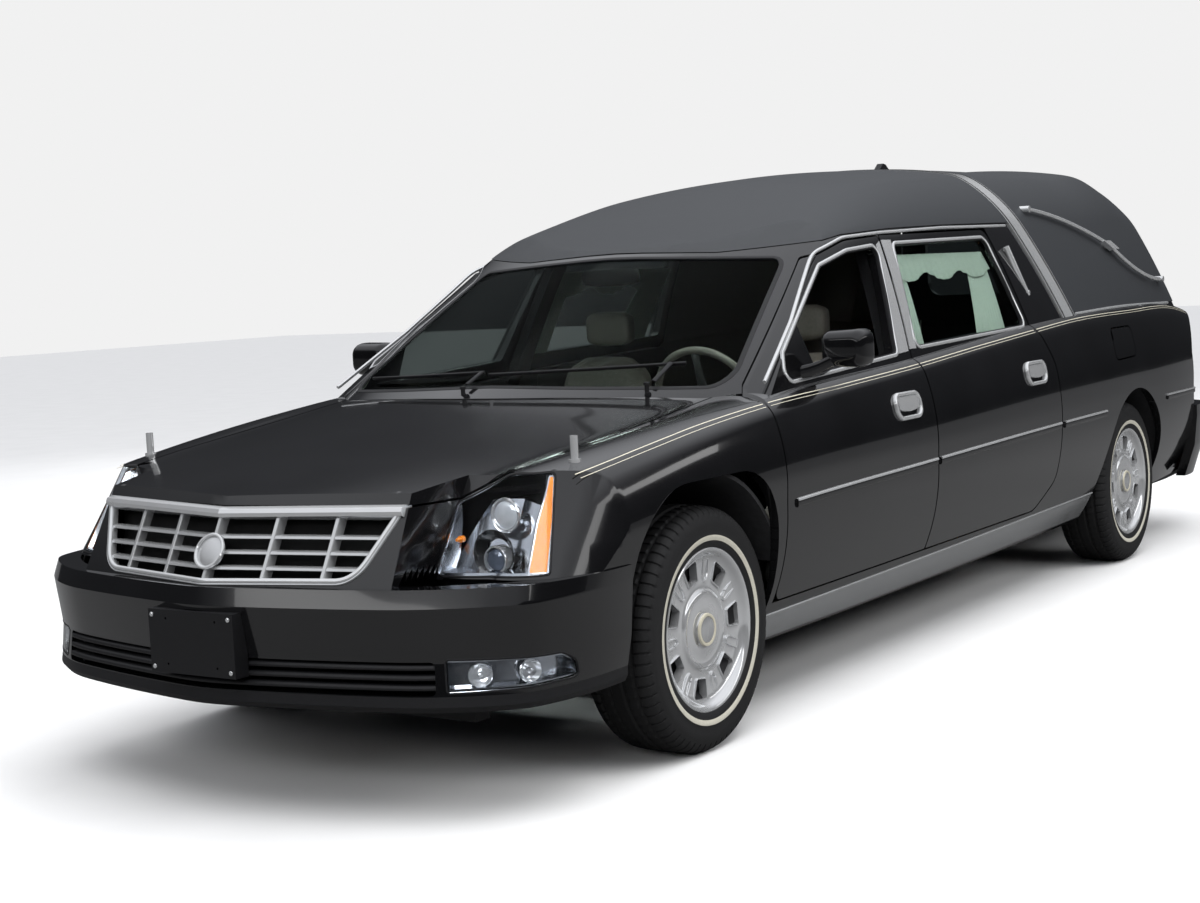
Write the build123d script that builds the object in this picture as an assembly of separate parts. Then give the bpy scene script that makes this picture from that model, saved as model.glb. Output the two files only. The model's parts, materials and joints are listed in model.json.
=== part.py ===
"""Hearse on a long saloon chassis with a formal vinyl roof.

Millimetres, +Z up. The vehicle faces -Y and +X is its left side. The origin lies on the road,
midway between the bumper faces. Stations along the body are given behind the front axle.
"""

import os
from math import hypot, sqrt

from build123d import *

os.makedirs("parts", exist_ok=True)

# Whole vehicle
WHEELBASE = 3640
FRONT_OVERHANG = 1108
REAR_OVERHANG = 1410
FRONT_AXLE = FRONT_OVERHANG - (FRONT_OVERHANG + WHEELBASE + REAR_OVERHANG) / 2
REAR_AXLE = FRONT_AXLE + WHEELBASE
TRACK_HALF = 797
TYRE_RADIUS = 351
TYRE_WIDTH = 225
RIM_RADIUS = 216
SKIN = 30
PANEL_GAP = 6
SEAT_GAP = 0.3


def at(behind):
    """Y of a station behind the front axle."""
    return FRONT_AXLE + behind


# Lower body: half widths and heights of each section.
# behind axle, sill half, sill z, waist half, waist z, shoulder half, shoulder z,
# crown half, crown z, centre z
LOWER_ROWS = [
    (-1150, 745, 240, 860, 590, 800, 745, 560, 785, 797),
    (-560, 775, 240, 925, 630, 872, 840, 660, 868, 880),
    (0, 800, 230, 947, 655, 903, 915, 715, 932, 962),
    (394, 805, 225, 952, 668, 905, 952, 725, 978, 1030),
    (1480, 808, 222, 955, 680, 903, 1006, 800, 1022, 1036),
    (2600, 808, 226, 955, 690, 901, 1068, 800, 1084, 1096),
    (3640, 806, 236, 952, 696, 897, 1098, 795, 1112, 1120),
    (4370, 795, 250, 938, 702, 885, 1088, 785, 1100, 1106),
    (5050, 760, 280, 880, 720, 825, 1000, 735, 1012, 1020),
]
LOWER_BULGE = 40
UPPER_BULGE = 20
SHOULDER_BULGE = 14

# Greenhouse and roof: half widths and heights of each section.
# behind axle, belt half, belt z, drip half, drip z, crown half, crown z, centre z
ROOF_ROWS = [
    (0, 890, 880, 668, 1384, 500, 1404, 1414),
    (500, 890, 905, 679, 1396, 505, 1416, 1426),
    (1000, 890, 930, 690, 1408, 510, 1428, 1438),
    (1320, 890, 945, 700, 1452, 516, 1534, 1556),
    (1700, 890, 960, 701, 1470, 512, 1622, 1662),
    (2150, 890, 985, 701, 1480, 505, 1670, 1716),
    (2700, 890, 1015, 701, 1486, 500, 1692, 1742),
    (3200, 889, 1030, 701, 1488, 500, 1696, 1749),
    (3700, 888, 1040, 700, 1488, 500, 1696, 1750),
    (4220, 882, 1040, 697, 1484, 495, 1690, 1745),
    (4750, 876, 1040, 692, 1478, 490, 1680, 1738),
]
SIDE_GLASS_BULGE = 10
ROOF_BULGE = 20


def bowed(a, b, out):
    """Arc from a to b whose middle stands out to the right of the chord."""
    (ax, az), (bx, bz) = a, b
    chord = hypot(bx - ax, bz - az)
    mid = ((ax + bx) / 2 + out * (bz - az) / chord, (az + bz) / 2 - out * (bx - ax) / chord)
    return ThreePointArc(a, mid, b)


def section(behind, right_side, crown_mid):
    """Closed symmetrical wire in the plane across the body at a station.

    right_side is a list of (start, end, bulge) from the sill up to the crown, on +X.
    """
    first, last = right_side[0][0], right_side[-1][1]
    left = [((-bx, bz), (-ax, az), out) for (ax, az), (bx, bz), out in reversed(right_side)]
    edges = [bowed(a, b, out) for a, b, out in right_side]
    edges.append(ThreePointArc(last, (0, crown_mid), (-last[0], last[1])))
    edges += [bowed(a, b, out) for a, b, out in left]
    edges.append(Line((-first[0], first[1]), first))
    plane = Plane(origin=(0, at(behind), 0), x_dir=(1, 0, 0), z_dir=(0, -1, 0))
    return plane * Wire(edges)


def lower_section(row, inset):
    behind, sill, sill_z, waist, waist_z, shoulder, shoulder_z, crown, crown_z, centre_z = row
    low = (sill - inset, sill_z - (60 if inset > 0 else 0))
    mid = (waist - inset, waist_z)
    high = (shoulder - inset, shoulder_z - inset)
    top = (crown - inset, crown_z - inset)
    sides = [(low, mid, LOWER_BULGE), (mid, high, UPPER_BULGE), (high, top, SHOULDER_BULGE)]
    return section(behind, sides, centre_z - inset)


def roof_section(row, inset):
    behind, belt, belt_z, drip, drip_z, crown, crown_z, centre_z = row
    low = (belt - inset, belt_z - (60 if inset > 0 else 0))
    rail = (drip - inset, drip_z - inset / 2)
    top = (crown - inset / 2, crown_z - inset)
    sides = [(low, rail, SIDE_GLASS_BULGE), (rail, top, ROOF_BULGE)]
    return section(behind, sides, centre_z - inset)


def lower_body(inset=0):
    return Solid.make_loft([lower_section(row, inset) for row in LOWER_ROWS])


def greenhouse(inset=0):
    return Solid.make_loft([roof_section(row, inset) for row in ROOF_ROWS])


# Windshield: a ruled surface between a low and a high arc.
# height, station of the arc's centre, half chord, station of the arc's ends
GLASS_ARCS = [(800, -187, 820, 123), (1600, 1300, 550, 1414)]
# Rear face of the roof, the same way
REAR_ARCS = [(900, 4640, 820, 4540), (1800, 4400, 700, 4310)]
BEYOND = 1100


def face_cut(arcs, towards, shift=0):
    """Everything in front of (towards -1) or behind (towards 1) a bowed slanting face."""
    wires = []
    for height, middle, half, ends in arcs:
        sag = abs(ends - middle)
        radius = (half**2 + sag**2) / (2 * sag)
        reach = radius - sqrt(radius**2 - (BEYOND - 100) ** 2)
        wide = BEYOND - 100
        end = at(middle - towards * reach) + shift
        far = at(middle) + towards * 2500
        edges = [
            ThreePointArc((-wide, end, height), (0, at(middle) + shift, height), (wide, end, height)),
            Line((wide, end, height), (wide, far, height)),
            Line((wide, far, height), (-wide, far, height)),
            Line((-wide, far, height), (-wide, end, height)),
        ]
        wires.append(Wire(edges))
    return Solid.make_loft(wires, ruled=True)


def outline(points, radius=1.0):
    """Face in local x, y with rounded corners. radius is one value or one for each corner."""
    return make_face(FilletPolyline(*points, radius=radius, close=True))


def across(face, x0, x1):
    """Prism along X. The face's x is the station behind the front axle, its y is height."""
    plane = Plane(origin=(x0, FRONT_AXLE, 0), x_dir=(0, 1, 0), z_dir=(1, 0, 0))
    return extrude(plane * face, amount=x1 - x0)


def along(face, behind0, behind1):
    """Prism along Y. The face's x is X, its y is height."""
    plane = Plane(origin=(0, at(behind1), 0), x_dir=(1, 0, 0), z_dir=(0, -1, 0))
    return extrude(plane * face, amount=behind1 - behind0)


def upright(face, z0, z1):
    """Prism along Z. The face's x is X, its y is the station behind the front axle."""
    plane = Plane(origin=(0, FRONT_AXLE, z0), x_dir=(1, 0, 0), z_dir=(0, 0, 1))
    return extrude(plane * face, amount=z1 - z0)


def block(x0, x1, behind0, behind1, z0, z1):
    size = (x1 - x0, behind1 - behind0, z1 - z0)
    middle = ((x0 + x1) / 2, at((behind0 + behind1) / 2), (z0 + z1) / 2)
    return Pos(*middle) * Box(*size)


def crossbar(behind, z, radius, x0, x1):
    """Cylinder along X."""
    return Pos((x0 + x1) / 2, at(behind), z) * Rot(0, 90, 0) * Cylinder(radius, x1 - x0)


def mirrored(shape):
    return mirror(shape, about=Plane.YZ)


def grown(points_face, gap):
    return offset(points_face, amount=gap, kind=Kind.ARC)


def solids_of(shape, least=1000.0):
    """The shape's solids larger than slivers, as one compound."""
    kept = [s for s in shape.solids() if s.volume > least]
    return kept[0] if len(kept) == 1 else Compound(kept)


PARTS = {}


def keep(name, shape):
    PARTS[name] = shape
    export_step(shape, f"parts/{name}.step")


# Side outlines, station behind the front axle and height
DOOR_BOTTOM = 365
DOOR_FRONT = 398
DOOR_SPLIT = 1488
SPLIT_LEAN = 104
DRIP_FRONT = 1398
DRIP_SPLIT = 1450
DRIP_REAR = 1466
HALF_GAP = 4
UPPER_GAP = 7

FRONT_DOOR = [
    (DOOR_FRONT, DOOR_BOTTOM),
    (DOOR_SPLIT - HALF_GAP, DOOR_BOTTOM),
    (DOOR_SPLIT - HALF_GAP, 1030),
    (DOOR_SPLIT - UPPER_GAP + SPLIT_LEAN, DRIP_SPLIT),
    (1320, DRIP_SPLIT - 14),
    (1085, DRIP_FRONT - 14),
    (470, 1006),
    (DOOR_FRONT, 950),
]
FRONT_DOOR_RADII = [40, 8, 30, 12, 300, 60, 100, 30]
REAR_DOOR = [
    (DOOR_SPLIT + HALF_GAP, DOOR_BOTTOM),
    (2520, DOOR_BOTTOM),
    (2668, 470),
    (2690, 700),
    (2672, 930),
    (2592, 1066),
    (2544, DRIP_REAR),
    (DOOR_SPLIT + UPPER_GAP + SPLIT_LEAN, DRIP_SPLIT + 3),
    (DOOR_SPLIT + HALF_GAP, 1030),
]
REAR_DOOR_RADII = [8, 110, 60, 200, 150, 60, 40, 12, 30]
# Room behind the rear door, where its edge swings in towards the roof's side
REAR_GAP = 8
SAIL_RELIEF = [(2500, 1080), (2601, 1080), (2559, DRIP_REAR + REAR_GAP), (2500, DRIP_REAR + REAR_GAP)]
FRONT_WINDOW = [(600, 1009), (1385, 1050), (1540, 1414), (1310, 1398), (1100, 1352), (650, 1089)]
FRONT_WINDOW_RADII = [26, 24, 24, 200, 50, 16]
REAR_WINDOW = [(1552, 1064), (2550, 1090), (2506, 1432), (1680, 1418)]
REAR_WINDOW_RADII = [24, 24, 34, 34]
FRONT_CARD = [(460, 400), (1390, 400), (1390, 985), (460, 935)]
REAR_CARD = [(1585, 400), (2480, 400), (2600, 520), (2600, 930), (2560, 1040), (1585, 1005)]
CARD_DEPTH = 95
CARD_INNER = 790
FRONT_ARCH = [(-436, 120), (-436, 785), (318, 785), (362, 420), (366, 120)]
FRONT_ARCH_RADII = [1, 300, 270, 90, 1]
REAR_ARCH_RADIUS = 410
SILL_TOP = DOOR_BOTTOM - PANEL_GAP
BUMPER_TOP = 606
WIDE = 1000
INNER = 380


def door_solid(face, window, card):
    """Left door: outer panel with its window frame, and the trimmed inner panel."""
    panel = (side_shell & across(face, INNER, WIDE)) + (roof_shell & across(face, INNER, WIDE))
    card_region = across(outline(card, 45), CARD_INNER, WIDE)
    door = panel + (inner_low & card_region) - inner_card
    return solids_of(door - across(window, INNER, WIDE), 1e5)


front_door_face = outline(FRONT_DOOR, FRONT_DOOR_RADII)
rear_door_face = outline(REAR_DOOR, REAR_DOOR_RADII)
front_window = outline(FRONT_WINDOW, FRONT_WINDOW_RADII)
rear_window = outline(REAR_WINDOW, REAR_WINDOW_RADII)

# Nose: plan points at a low and a high level. height, then x and station of each point.
NOSE_LEVELS = [
    (500, (0, -1116), (563, -1011), (540, -820), (710, -812), (889, -767), (955, -450)),
    (950, (0, -879), (538, -780), (594, -608), (700, -560), (777, -509), (930, -330)),
]
TAIL_LEVELS = [
    (240, (0, 4952), (560, 4925), (830, 4810), (930, 4560)),
    (1130, (0, 4930), (560, 4900), (815, 4780), (920, 4540)),
]


def bow_line(a, b, out):
    """Line, or arc if out isn't 0."""
    return bowed(a, b, out) if out else Line(a, b)


def plan_wire(height, corners, bows, far):
    """Symmetrical closed wire in plan: from the centre out along corners, then away to far."""
    (last_x, last_y) = corners[-1]
    corners = corners + [(1100, last_y), (1100, far)]
    bows = bows + [0, 0]
    right = [bow_line(a, b, out) for a, b, out in zip(corners, corners[1:], bows)]
    left = [
        bow_line((-b[0], b[1]), (-a[0], a[1]), out) for a, b, out in zip(corners, corners[1:], bows)
    ]
    wire = Wire(right + [Line((1100, far), (-1100, far))] + left[::-1])
    return Pos(0, FRONT_AXLE, height) * wire


def nose_face(shift):
    """Everything ahead of the lamp and grille faces."""
    wires = []
    for height, *points in NOSE_LEVELS:
        corners = [(x, station + shift) for x, station in points]
        wires.append(plan_wire(height, corners, [0, 0, 10, 22, 16], -1500))
    return Solid.make_loft(wires, ruled=True)


def tail_face(shift):
    """Everything behind the tail."""
    wires = []
    for height, *points in TAIL_LEVELS:
        corners = [(x, station + shift) for x, station in points]
        wires.append(plan_wire(height, corners, [0, -30, -8], 5600))
    return Solid.make_loft(wires, ruled=True)


outer_low = lower_body()
glass_cut = face_cut(GLASS_ARCS, -1)
rear_cut = face_cut(REAR_ARCS, 1)
inner_low = lower_body(SKIN) - nose_face(SKIN) - tail_face(-SKIN)
inner_card = lower_body(CARD_DEPTH)
outer_top = greenhouse() - glass_cut - rear_cut
inner_top = greenhouse(SKIN) - face_cut(GLASS_ARCS, -1, SKIN) - face_cut(REAR_ARCS, 1, -SKIN)
lower_solid = outer_low - nose_face(0) - tail_face(0)
lower_shell = lower_solid - inner_low - inner_top
roof_shell = outer_top - inner_top - outer_low
side_shell = lower_shell & block(INNER, WIDE, 300, 2760, 200, 1200)


# Hood in plan: x and station of its edge on the left, from the nose to the windshield
HOOD_EDGE = [(0, -1300), (576, -1300), (584, -700), (694, -610), (706, -420), (717, -40), (719, 392)]
HOOD_BACK = 165
COWL_DEPTH = 80
COWL_FLOOR = 890
HOOD_LINE = 800
hood_half = [Line(a, b) for a, b in zip(HOOD_EDGE, HOOD_EDGE[1:])]
hood_other = [Line((-b[0], b[1]), (-a[0], a[1])) for a, b in zip(HOOD_EDGE, HOOD_EDGE[1:])]
hood_x, hood_y = HOOD_EDGE[-1]
hood_rear = ThreePointArc((hood_x, hood_y), (0, HOOD_BACK), (-hood_x, hood_y))
hood_face = make_face(Wire(hood_half + [hood_rear] + hood_other[::-1]))

# Headlamp seen square to the car's corner: along the diagonal, and height
LAMP = [(-160, 607), (-88, 790), (52, 861), (169, 863), (116, 614)]
LAMP_RADII = [14, 40, 60, 14, 14]
LAMP_DEPTH = (800, 1500)
lamp_plane = Plane(origin=(0, FRONT_AXLE, 0), x_dir=(1, 1, 0), z_dir=(1, -1, 0))


def corner_prism(face):
    """Prism along the diagonal through the left front corner."""
    near, far = LAMP_DEPTH
    return Pos(near / sqrt(2), -near / sqrt(2), 0) * extrude(lamp_plane * face, amount=far - near)


def lamp_prism(gap):
    face = outline(LAMP, LAMP_RADII)
    return corner_prism(grown(face, gap) if gap else face)


def both(shape):
    return shape + mirrored(shape)


lamp_zone = lamp_prism(0)
lamp_gap = lamp_prism(SEAT_GAP)
arch_zone = across(outline(FRONT_ARCH, FRONT_ARCH_RADII), INNER, WIDE)
rear_arch_zone = crossbar(WHEELBASE, TYRE_RADIUS, REAR_ARCH_RADIUS, 560, WIDE)
front_door_zone = across(grown(front_door_face, PANEL_GAP), INNER, WIDE)
rear_door_zone = across(grown(rear_door_face, REAR_GAP), INNER, WIDE)
rear_door_zone += across(make_face(Polyline(*SAIL_RELIEF, close=True)), INNER, WIDE)
door_zones = both(front_door_zone + rear_door_zone)
hood_zone = upright(hood_face, HOOD_LINE + PANEL_GAP / 2, 1300)
hood_gap = upright(grown(hood_face, PANEL_GAP), HOOD_LINE - PANEL_GAP / 2, 1300)

# Rear load door, seen from behind: x and height
LOAD_DOOR = [(-650, 632), (620, 632), (620, 1000), (552, 1086), (478, 1560), (-560, 1560),
             (-640, 1086), (-650, 1000)]
LOAD_DOOR_RADII = [40, 40, 60, 60, 90, 90, 60, 60]
LOAD_GLASS = [(-400, 1180), (400, 1180), (380, 1500), (-380, 1500)]
LOAD_HINGE = (626, 4945)
LOAD_SWEEP = 1240
load_face = outline(LOAD_DOOR, LOAD_DOOR_RADII)


def load_zone(gap):
    face = grown(load_face, gap) if gap else load_face
    sweep = Pos(LOAD_HINGE[0], at(LOAD_HINGE[1]), 1100) * Cylinder(LOAD_SWEEP + gap, 1400)
    return along(face, 4250, 5200) & sweep


# Room that a front tyre takes as it steers about its kingpin
KINGPIN = 700
SHOULDER = (90, 344)
TYRE_SWEEP = hypot(TRACK_HALF - KINGPIN + SHOULDER[0], SHOULDER[1]) + PANEL_GAP
tyre_sweep = Pos(KINGPIN, at(0), TYRE_RADIUS) * Cylinder(TYRE_SWEEP, 2 * TYRE_RADIUS)

# Body panels that stay
front_skin = lower_shell & block(-WIDE, WIDE, -1200, 500, 200, 1100)
front_skin -= both(arch_zone) + both(lamp_gap)
hood = solids_of((front_skin & hood_zone) - both(lamp_prism(PANEL_GAP)), 1e5)
fenders = front_skin - hood_gap - both(front_door_zone)
fenders -= block(-576, 576, -1300, 300, 0, 1200)
fenders -= block(-WIDE, WIDE, -1300, FRONT_ARCH[0][0], 0, BUMPER_TOP)
fenders &= both(block(576, WIDE, -1300, DOOR_FRONT - PANEL_GAP, 200, 1100))
fenders -= block(-726, 726, 200, 500, 850, 1200)
SILL_INNER = 700
SILL_FRONT = 354
SILL_REAR = 3228
SILL_LOW = 215
sill_room = both(block(SILL_INNER, WIDE, SILL_FRONT, SILL_REAR, 0, SILL_TOP + SEAT_GAP))
fenders = solids_of(fenders - sill_room, 1e5)
cowl_plan = make_face(Wire(hood_half + [hood_rear] + hood_other[::-1]).moved(Pos(0, COWL_DEPTH, 0)))
cowl = outer_low & upright(cowl_plan, COWL_FLOOR, 1100) & block(-719, 719, 100, 600, 800, 1100)
cowl = solids_of(cowl - hood_gap - both(front_door_zone), 1e5)
quarters = lower_shell & block(-WIDE, WIDE, 2480, 5100, 200, 1200)
quarters -= door_zones + both(rear_arch_zone) + load_zone(PANEL_GAP)
quarters -= both(block(0, WIDE, 2400, WHEELBASE - REAR_ARCH_RADIUS + 1, 0, SILL_TOP))
REAR_BUMPER_TOP = 612
quarters -= both(block(0, WIDE, 4560, 5200, 0, REAR_BUMPER_TOP))
FUEL_DOOR = [(3390, 900), (3655, 905), (3655, 1030), (3390, 1030)]
fuel_face = outline(FUEL_DOOR, 30)
fuel_door = solids_of(lower_shell & across(fuel_face, 700, WIDE), 1e4)
quarters = solids_of(quarters - across(grown(fuel_face, PANEL_GAP), 700, WIDE), 1e5)
sill = block(SILL_INNER + SEAT_GAP, WIDE, SILL_FRONT + SEAT_GAP, SILL_REAR, SILL_LOW, SILL_TOP)
rockers = outer_low & both(sill - arch_zone - rear_arch_zone - tyre_sweep)
rockers = solids_of(rockers, 1e5)

# Windshield aperture seen from the front: x and height
APERTURE = [(-752, 1003), (0, 1026), (752, 1003), (622, 1393), (0, 1420), (-622, 1393)]
APERTURE_RADII = [45, 2500, 45, 60, 2500, 60]
aperture = along(outline(APERTURE, APERTURE_RADII), 100, 1700)
roof = roof_shell - door_zones - load_zone(PANEL_GAP) - aperture


# Glass: a pane shifted inward from the outer surface
PANE = 5
PANE_SET_IN = 12
roof_side = outer_top & block(INNER, WIDE, 300, 2800, 880, 1700)


def side_pane(face):
    outer = Pos(-PANE_SET_IN, 0, 0) * roof_side
    inner = Pos(-PANE_SET_IN - PANE, 0, 0) * roof_side
    return solids_of((outer - inner) & across(face, INNER, WIDE), 1e4)


front_pane = side_pane(front_window)
rear_pane = side_pane(rear_window)
windshield = solids_of(
    (face_cut(GLASS_ARCS, -1, PANE_SET_IN) - face_cut(GLASS_ARCS, -1, PANE_SET_IN - PANE)) & aperture, 1e4
)

# Doors
front_door = door_solid(front_door_face, front_window, FRONT_CARD)
rear_door = door_solid(rear_door_face, rear_window, REAR_CARD)
load_window = along(outline(LOAD_GLASS, 60), 4250, 5200)
load_zone_shut = load_zone(0)
load_door = solids_of(((lower_shell + roof_shell) & load_zone_shut) - load_window, 1e5)
load_pane = face_cut(REAR_ARCS, 1, -PANE_SET_IN - PANE) - face_cut(REAR_ARCS, 1, -PANE_SET_IN)
load_pane = solids_of(load_pane & load_window, 1e4)

# Drapes lie against the inside of the rear door's window frame
DRAPE = 12
cabin_side = inner_top & block(INNER, WIDE, 1400, 2800, 1000, 1600)
drape = (cabin_side - Pos(-DRAPE, 0, 0) * cabin_side) & across(grown(rear_window, 8), INNER, WIDE)
drape = Pos(-SEAT_GAP, 0, 0) * solids_of(drape, 1e4)

# Front bumper: plan sections. height, then x and station: nose, shoulder, corner, end
FRONT_BUMPER = [
    (296, (0, -1078), (580, -966), (850, -800), (900, -440)),
    (312, (0, -1090), (587, -978), (860, -808), (908, -440)),
    (336, (0, -1086), (585, -975), (858, -805), (910, -440)),
    (420, (0, -1078), (575, -968), (862, -792), (926, -440)),
    (560, (0, -1100), (575, -990), (878, -800), (938, -440)),
    (BUMPER_TOP - SEAT_GAP, (0, -1084), (572, -972), (872, -785), (938, -440)),
]
REAR_BUMPER = [
    (270, (0, 4990), (560, 4962), (820, 4850), (872, 4560)),
    (420, (0, 5046), (580, 5016), (858, 4880), (922, 4560)),
    (560, (0, 5050), (580, 5020), (868, 4884), (936, 4560)),
    (REAR_BUMPER_TOP - SEAT_GAP, (0, 5020), (575, 4990), (860, 4862), (936, 4560)),
]
BUMPER_WALL = 45


def bumper_solid(levels, facing, inset):
    """Cover of a bumper between its end faces. facing is -1 at the nose and 1 at the tail."""
    wires = []
    for height, *points in levels:
        corners = [(x - (inset if x else 0), station - facing * inset) for x, station in points]
        end = points[-1][1] + (1 if inset else 0) * -facing * 5
        corners[-1] = (corners[-1][0], end)
        bows = [10, 20, 20] if facing < 0 else [-10, -20, -20]
        right = [bow_line(a, b, out) for a, b, out in zip(corners, corners[1:], bows)]
        left = [bow_line((-b[0], b[1]), (-a[0], a[1]), out)
                for a, b, out in zip(corners, corners[1:], bows)]
        close = Line(corners[-1], (-corners[-1][0], end))
        wires.append(Pos(0, FRONT_AXLE, height) * Wire(right + [close] + left[::-1]))
    return Solid.make_loft(wires, ruled=True)


# Fog lamp seen square to the corner, as the headlamp is, and the air inlet seen from the front
FOG = [(-164, 348), (176, 354), (170, 396), (132, 421), (-164, 427)]
FOG_RADII = [5, 12, 24, 30, 5]
INLET = [(-668, 340), (668, 340), (662, 424), (-662, 424)]
INLET_BARS = 3
front_cover = bumper_solid(FRONT_BUMPER, -1, 0)
front_hollow = bumper_solid(FRONT_BUMPER, -1, BUMPER_WALL)
fog_prism = corner_prism(outline(FOG, FOG_RADII))
fog_lamps = solids_of((front_cover - front_hollow) & both(fog_prism), 1e4)
inlet_room = along(outline(INLET, 12), -1200, -600)
front_bumper = front_cover - front_hollow - both(fog_prism)
slats = front_bumper & inlet_room
front_bumper -= inlet_room
for index in range(INLET_BARS):
    z = INLET[0][1] + 14 + index * 25
    front_bumper += slats & block(-700, 700, -1200, -600, z, z + 11)

# Nose panel around the grille
NOSE_PANEL_TOP = HOOD_LINE - PANEL_GAP / 2
nose_panel = lower_shell & block(-576, 576, -1300, -640, BUMPER_TOP - 4, NOSE_PANEL_TOP)
GRILLE = [(-538, 788), (538, 788), (452, 612), (0, BUMPER_TOP), (-452, 612)]
GRILLE_RADII = [10, 10, 90, 900, 90]
grille_face = outline(GRILLE, GRILLE_RADII)
nose_panel = solids_of(nose_panel - along(grille_face, -1300, -700) - both(lamp_gap), 1e4)
front_bumper = solids_of(front_bumper + nose_panel, 1e5)

# Grille: frame and bars cut from a slab that follows the nose
BARS_UPRIGHT = 5
BARS_LEVEL = 3
slab = (nose_face(34) - nose_face(4)) & along(grille_face, -1300, -700)
grille_in = outline([(-522, 766), (522, 766), (440, 628), (0, 618), (-440, 628)], [6, 6, 80, 900, 80])
grille = slab - along(grille_in, -1300, -700)
for index in range(BARS_UPRIGHT):
    x = (index - (BARS_UPRIGHT - 1) / 2) * 2 * 530 / (BARS_UPRIGHT + 1)
    grille += slab & block(x - 6, x + 6, -1300, -700, 600, 790)
for index in range(BARS_LEVEL):
    z = 648 + index * 38
    grille += slab & block(-540, 540, -1300, -700, z - 4, z + 4)
BOSS_RADIUS = 52
grille += slab & (Pos(0, at(-1000), 690) * Rot(90, 0, 0) * Cylinder(BOSS_RADIUS, 600))
grille = solids_of(grille, 1e4)
headlamps = solids_of((lower_solid & both(lamp_zone)), 1e4)

rear_cover = bumper_solid(REAR_BUMPER, 1, 0)
rear_bumper = solids_of(rear_cover - bumper_solid(REAR_BUMPER, 1, BUMPER_WALL), 1e5)

TAIL_LAMP_TOP = 1010
TAIL_LAMP_BOTTOM = 640
tail_lamp_face = outline([(700, TAIL_LAMP_BOTTOM), (880, TAIL_LAMP_BOTTOM), (860, TAIL_LAMP_TOP),
                          (745, TAIL_LAMP_TOP)], 20)
tail_lamp_prism = along(tail_lamp_face, 4690, 5200)
tail_lamps = solids_of(lower_shell & both(tail_lamp_prism), 1e4)
quarters = solids_of(quarters - both(tail_lamp_prism), 1e5)


# Wheels
HUB_BORE = 25.05
SPINDLE = 25.0
SLOTS = 7


def turned(profile, centre_x, station, z=TYRE_RADIUS):
    """Solid turned about the wheel's axis. profile points are (x outward, radius)."""
    face = make_face(Polyline(*profile, close=True))
    plane = Plane(origin=(centre_x, at(station), z), x_dir=(1, 0, 0), z_dir=(0, -1, 0))
    return revolve(plane * face, axis=Axis((centre_x, at(station), z), (1, 0, 0)))


HALF_TYRE = TYRE_WIDTH / 2
TYRE = [
    (-86, RIM_RADIUS), (-104, 232), (-HALF_TYRE, 280), (-106, 325), (-SHOULDER[0], SHOULDER[1]),
    (-60, TYRE_RADIUS), (60, TYRE_RADIUS), SHOULDER, (106, 325), (HALF_TYRE, 280), (104, 232),
    (86, RIM_RADIUS),
]
WHEEL = [
    (-86, RIM_RADIUS), (-98, RIM_RADIUS + 10), (-98, RIM_RADIUS), (-90, 204), (50, 196), (64, 150),
    (40, 90), (-60, 90), (-60, HUB_BORE), (30, HUB_BORE), (30, 0), (92, 0), (96, 34), (88, 40),
    (86, 118), (80, 128), (72, 190), (96, 214), (104, 229), (98, RIM_RADIUS + 10), (86, RIM_RADIUS),
]


def tyre(station):
    return turned(TYRE, TRACK_HALF, station)


def wheel(station):
    body = turned(WHEEL, TRACK_HALF, station)
    for index in range(SLOTS):
        angle = index * 360 / SLOTS
        slot = Pos(TRACK_HALF + 80, at(station), TYRE_RADIUS) * Rot(angle, 0, 0)
        body -= slot * Pos(0, 0, 164) * Box(60, 52, 56)
    return body


# Chassis, suspension and running gear
RAIL = 430
RAIL_LOW = 215
RAIL_HIGH = 262
FLOOR_TOP = 286
rails = both(block(RAIL - 40, RAIL + 40, -640, 4700, RAIL_LOW, RAIL_HIGH))
for station in (900, 1700, 2500, 3300, 4150):
    rails += block(-RAIL + 40, RAIL - 40, station, station + 60, RAIL_LOW, RAIL_HIGH)
chassis_frame = rails + block(-600, 600, -700, -640, RAIL_LOW, 480)

ARM_Z = 232
front_subframe = block(-RAIL + 40, RAIL - 40, -120, 120, RAIL_LOW - 25, RAIL_HIGH)
arm_points = [(RAIL + 40, -190), (KINGPIN, -36), (KINGPIN, 36), (RAIL + 40, 190)]
arm_face = make_face(Polyline(*arm_points, close=True))
arm = upright(arm_face, ARM_Z - 14, ARM_Z) + Pos(KINGPIN, at(0), ARM_Z - 7) * Cylinder(36, 14)
front_subframe += both(arm)

KNUCKLE_LOW = ARM_Z + SEAT_GAP
knuckle = block(KINGPIN - 34, KINGPIN + 6, -55, 55, KNUCKLE_LOW, 520)
knuckle += crossbar(0, TYRE_RADIUS, 52, KINGPIN - 40, KINGPIN + 30)
knuckle += crossbar(0, TYRE_RADIUS, SPINDLE, KINGPIN, TRACK_HALF + 25)
knuckle += block(KINGPIN - 110, KINGPIN + 6, -40, 40, 470, 520)
knuckle += Pos(KINGPIN - 70, at(0), 640) * Cylinder(38, 250)
knuckle += block(KINGPIN - 60, KINGPIN - 10, 50, 150, 300, 330)

REAR_SPINDLE_END = TRACK_HALF + 25
beam = crossbar(WHEELBASE, TYRE_RADIUS, 40, -REAR_SPINDLE_END + 100, REAR_SPINDLE_END - 100)
stub = crossbar(WHEELBASE, TYRE_RADIUS, SPINDLE, REAR_SPINDLE_END - 101, REAR_SPINDLE_END)
rear_axle = beam + both(stub)
rear_axle += both(block(RAIL - 30, RAIL + 30, WHEELBASE - 60, WHEELBASE + 60, RAIL_HIGH, 375))

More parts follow.
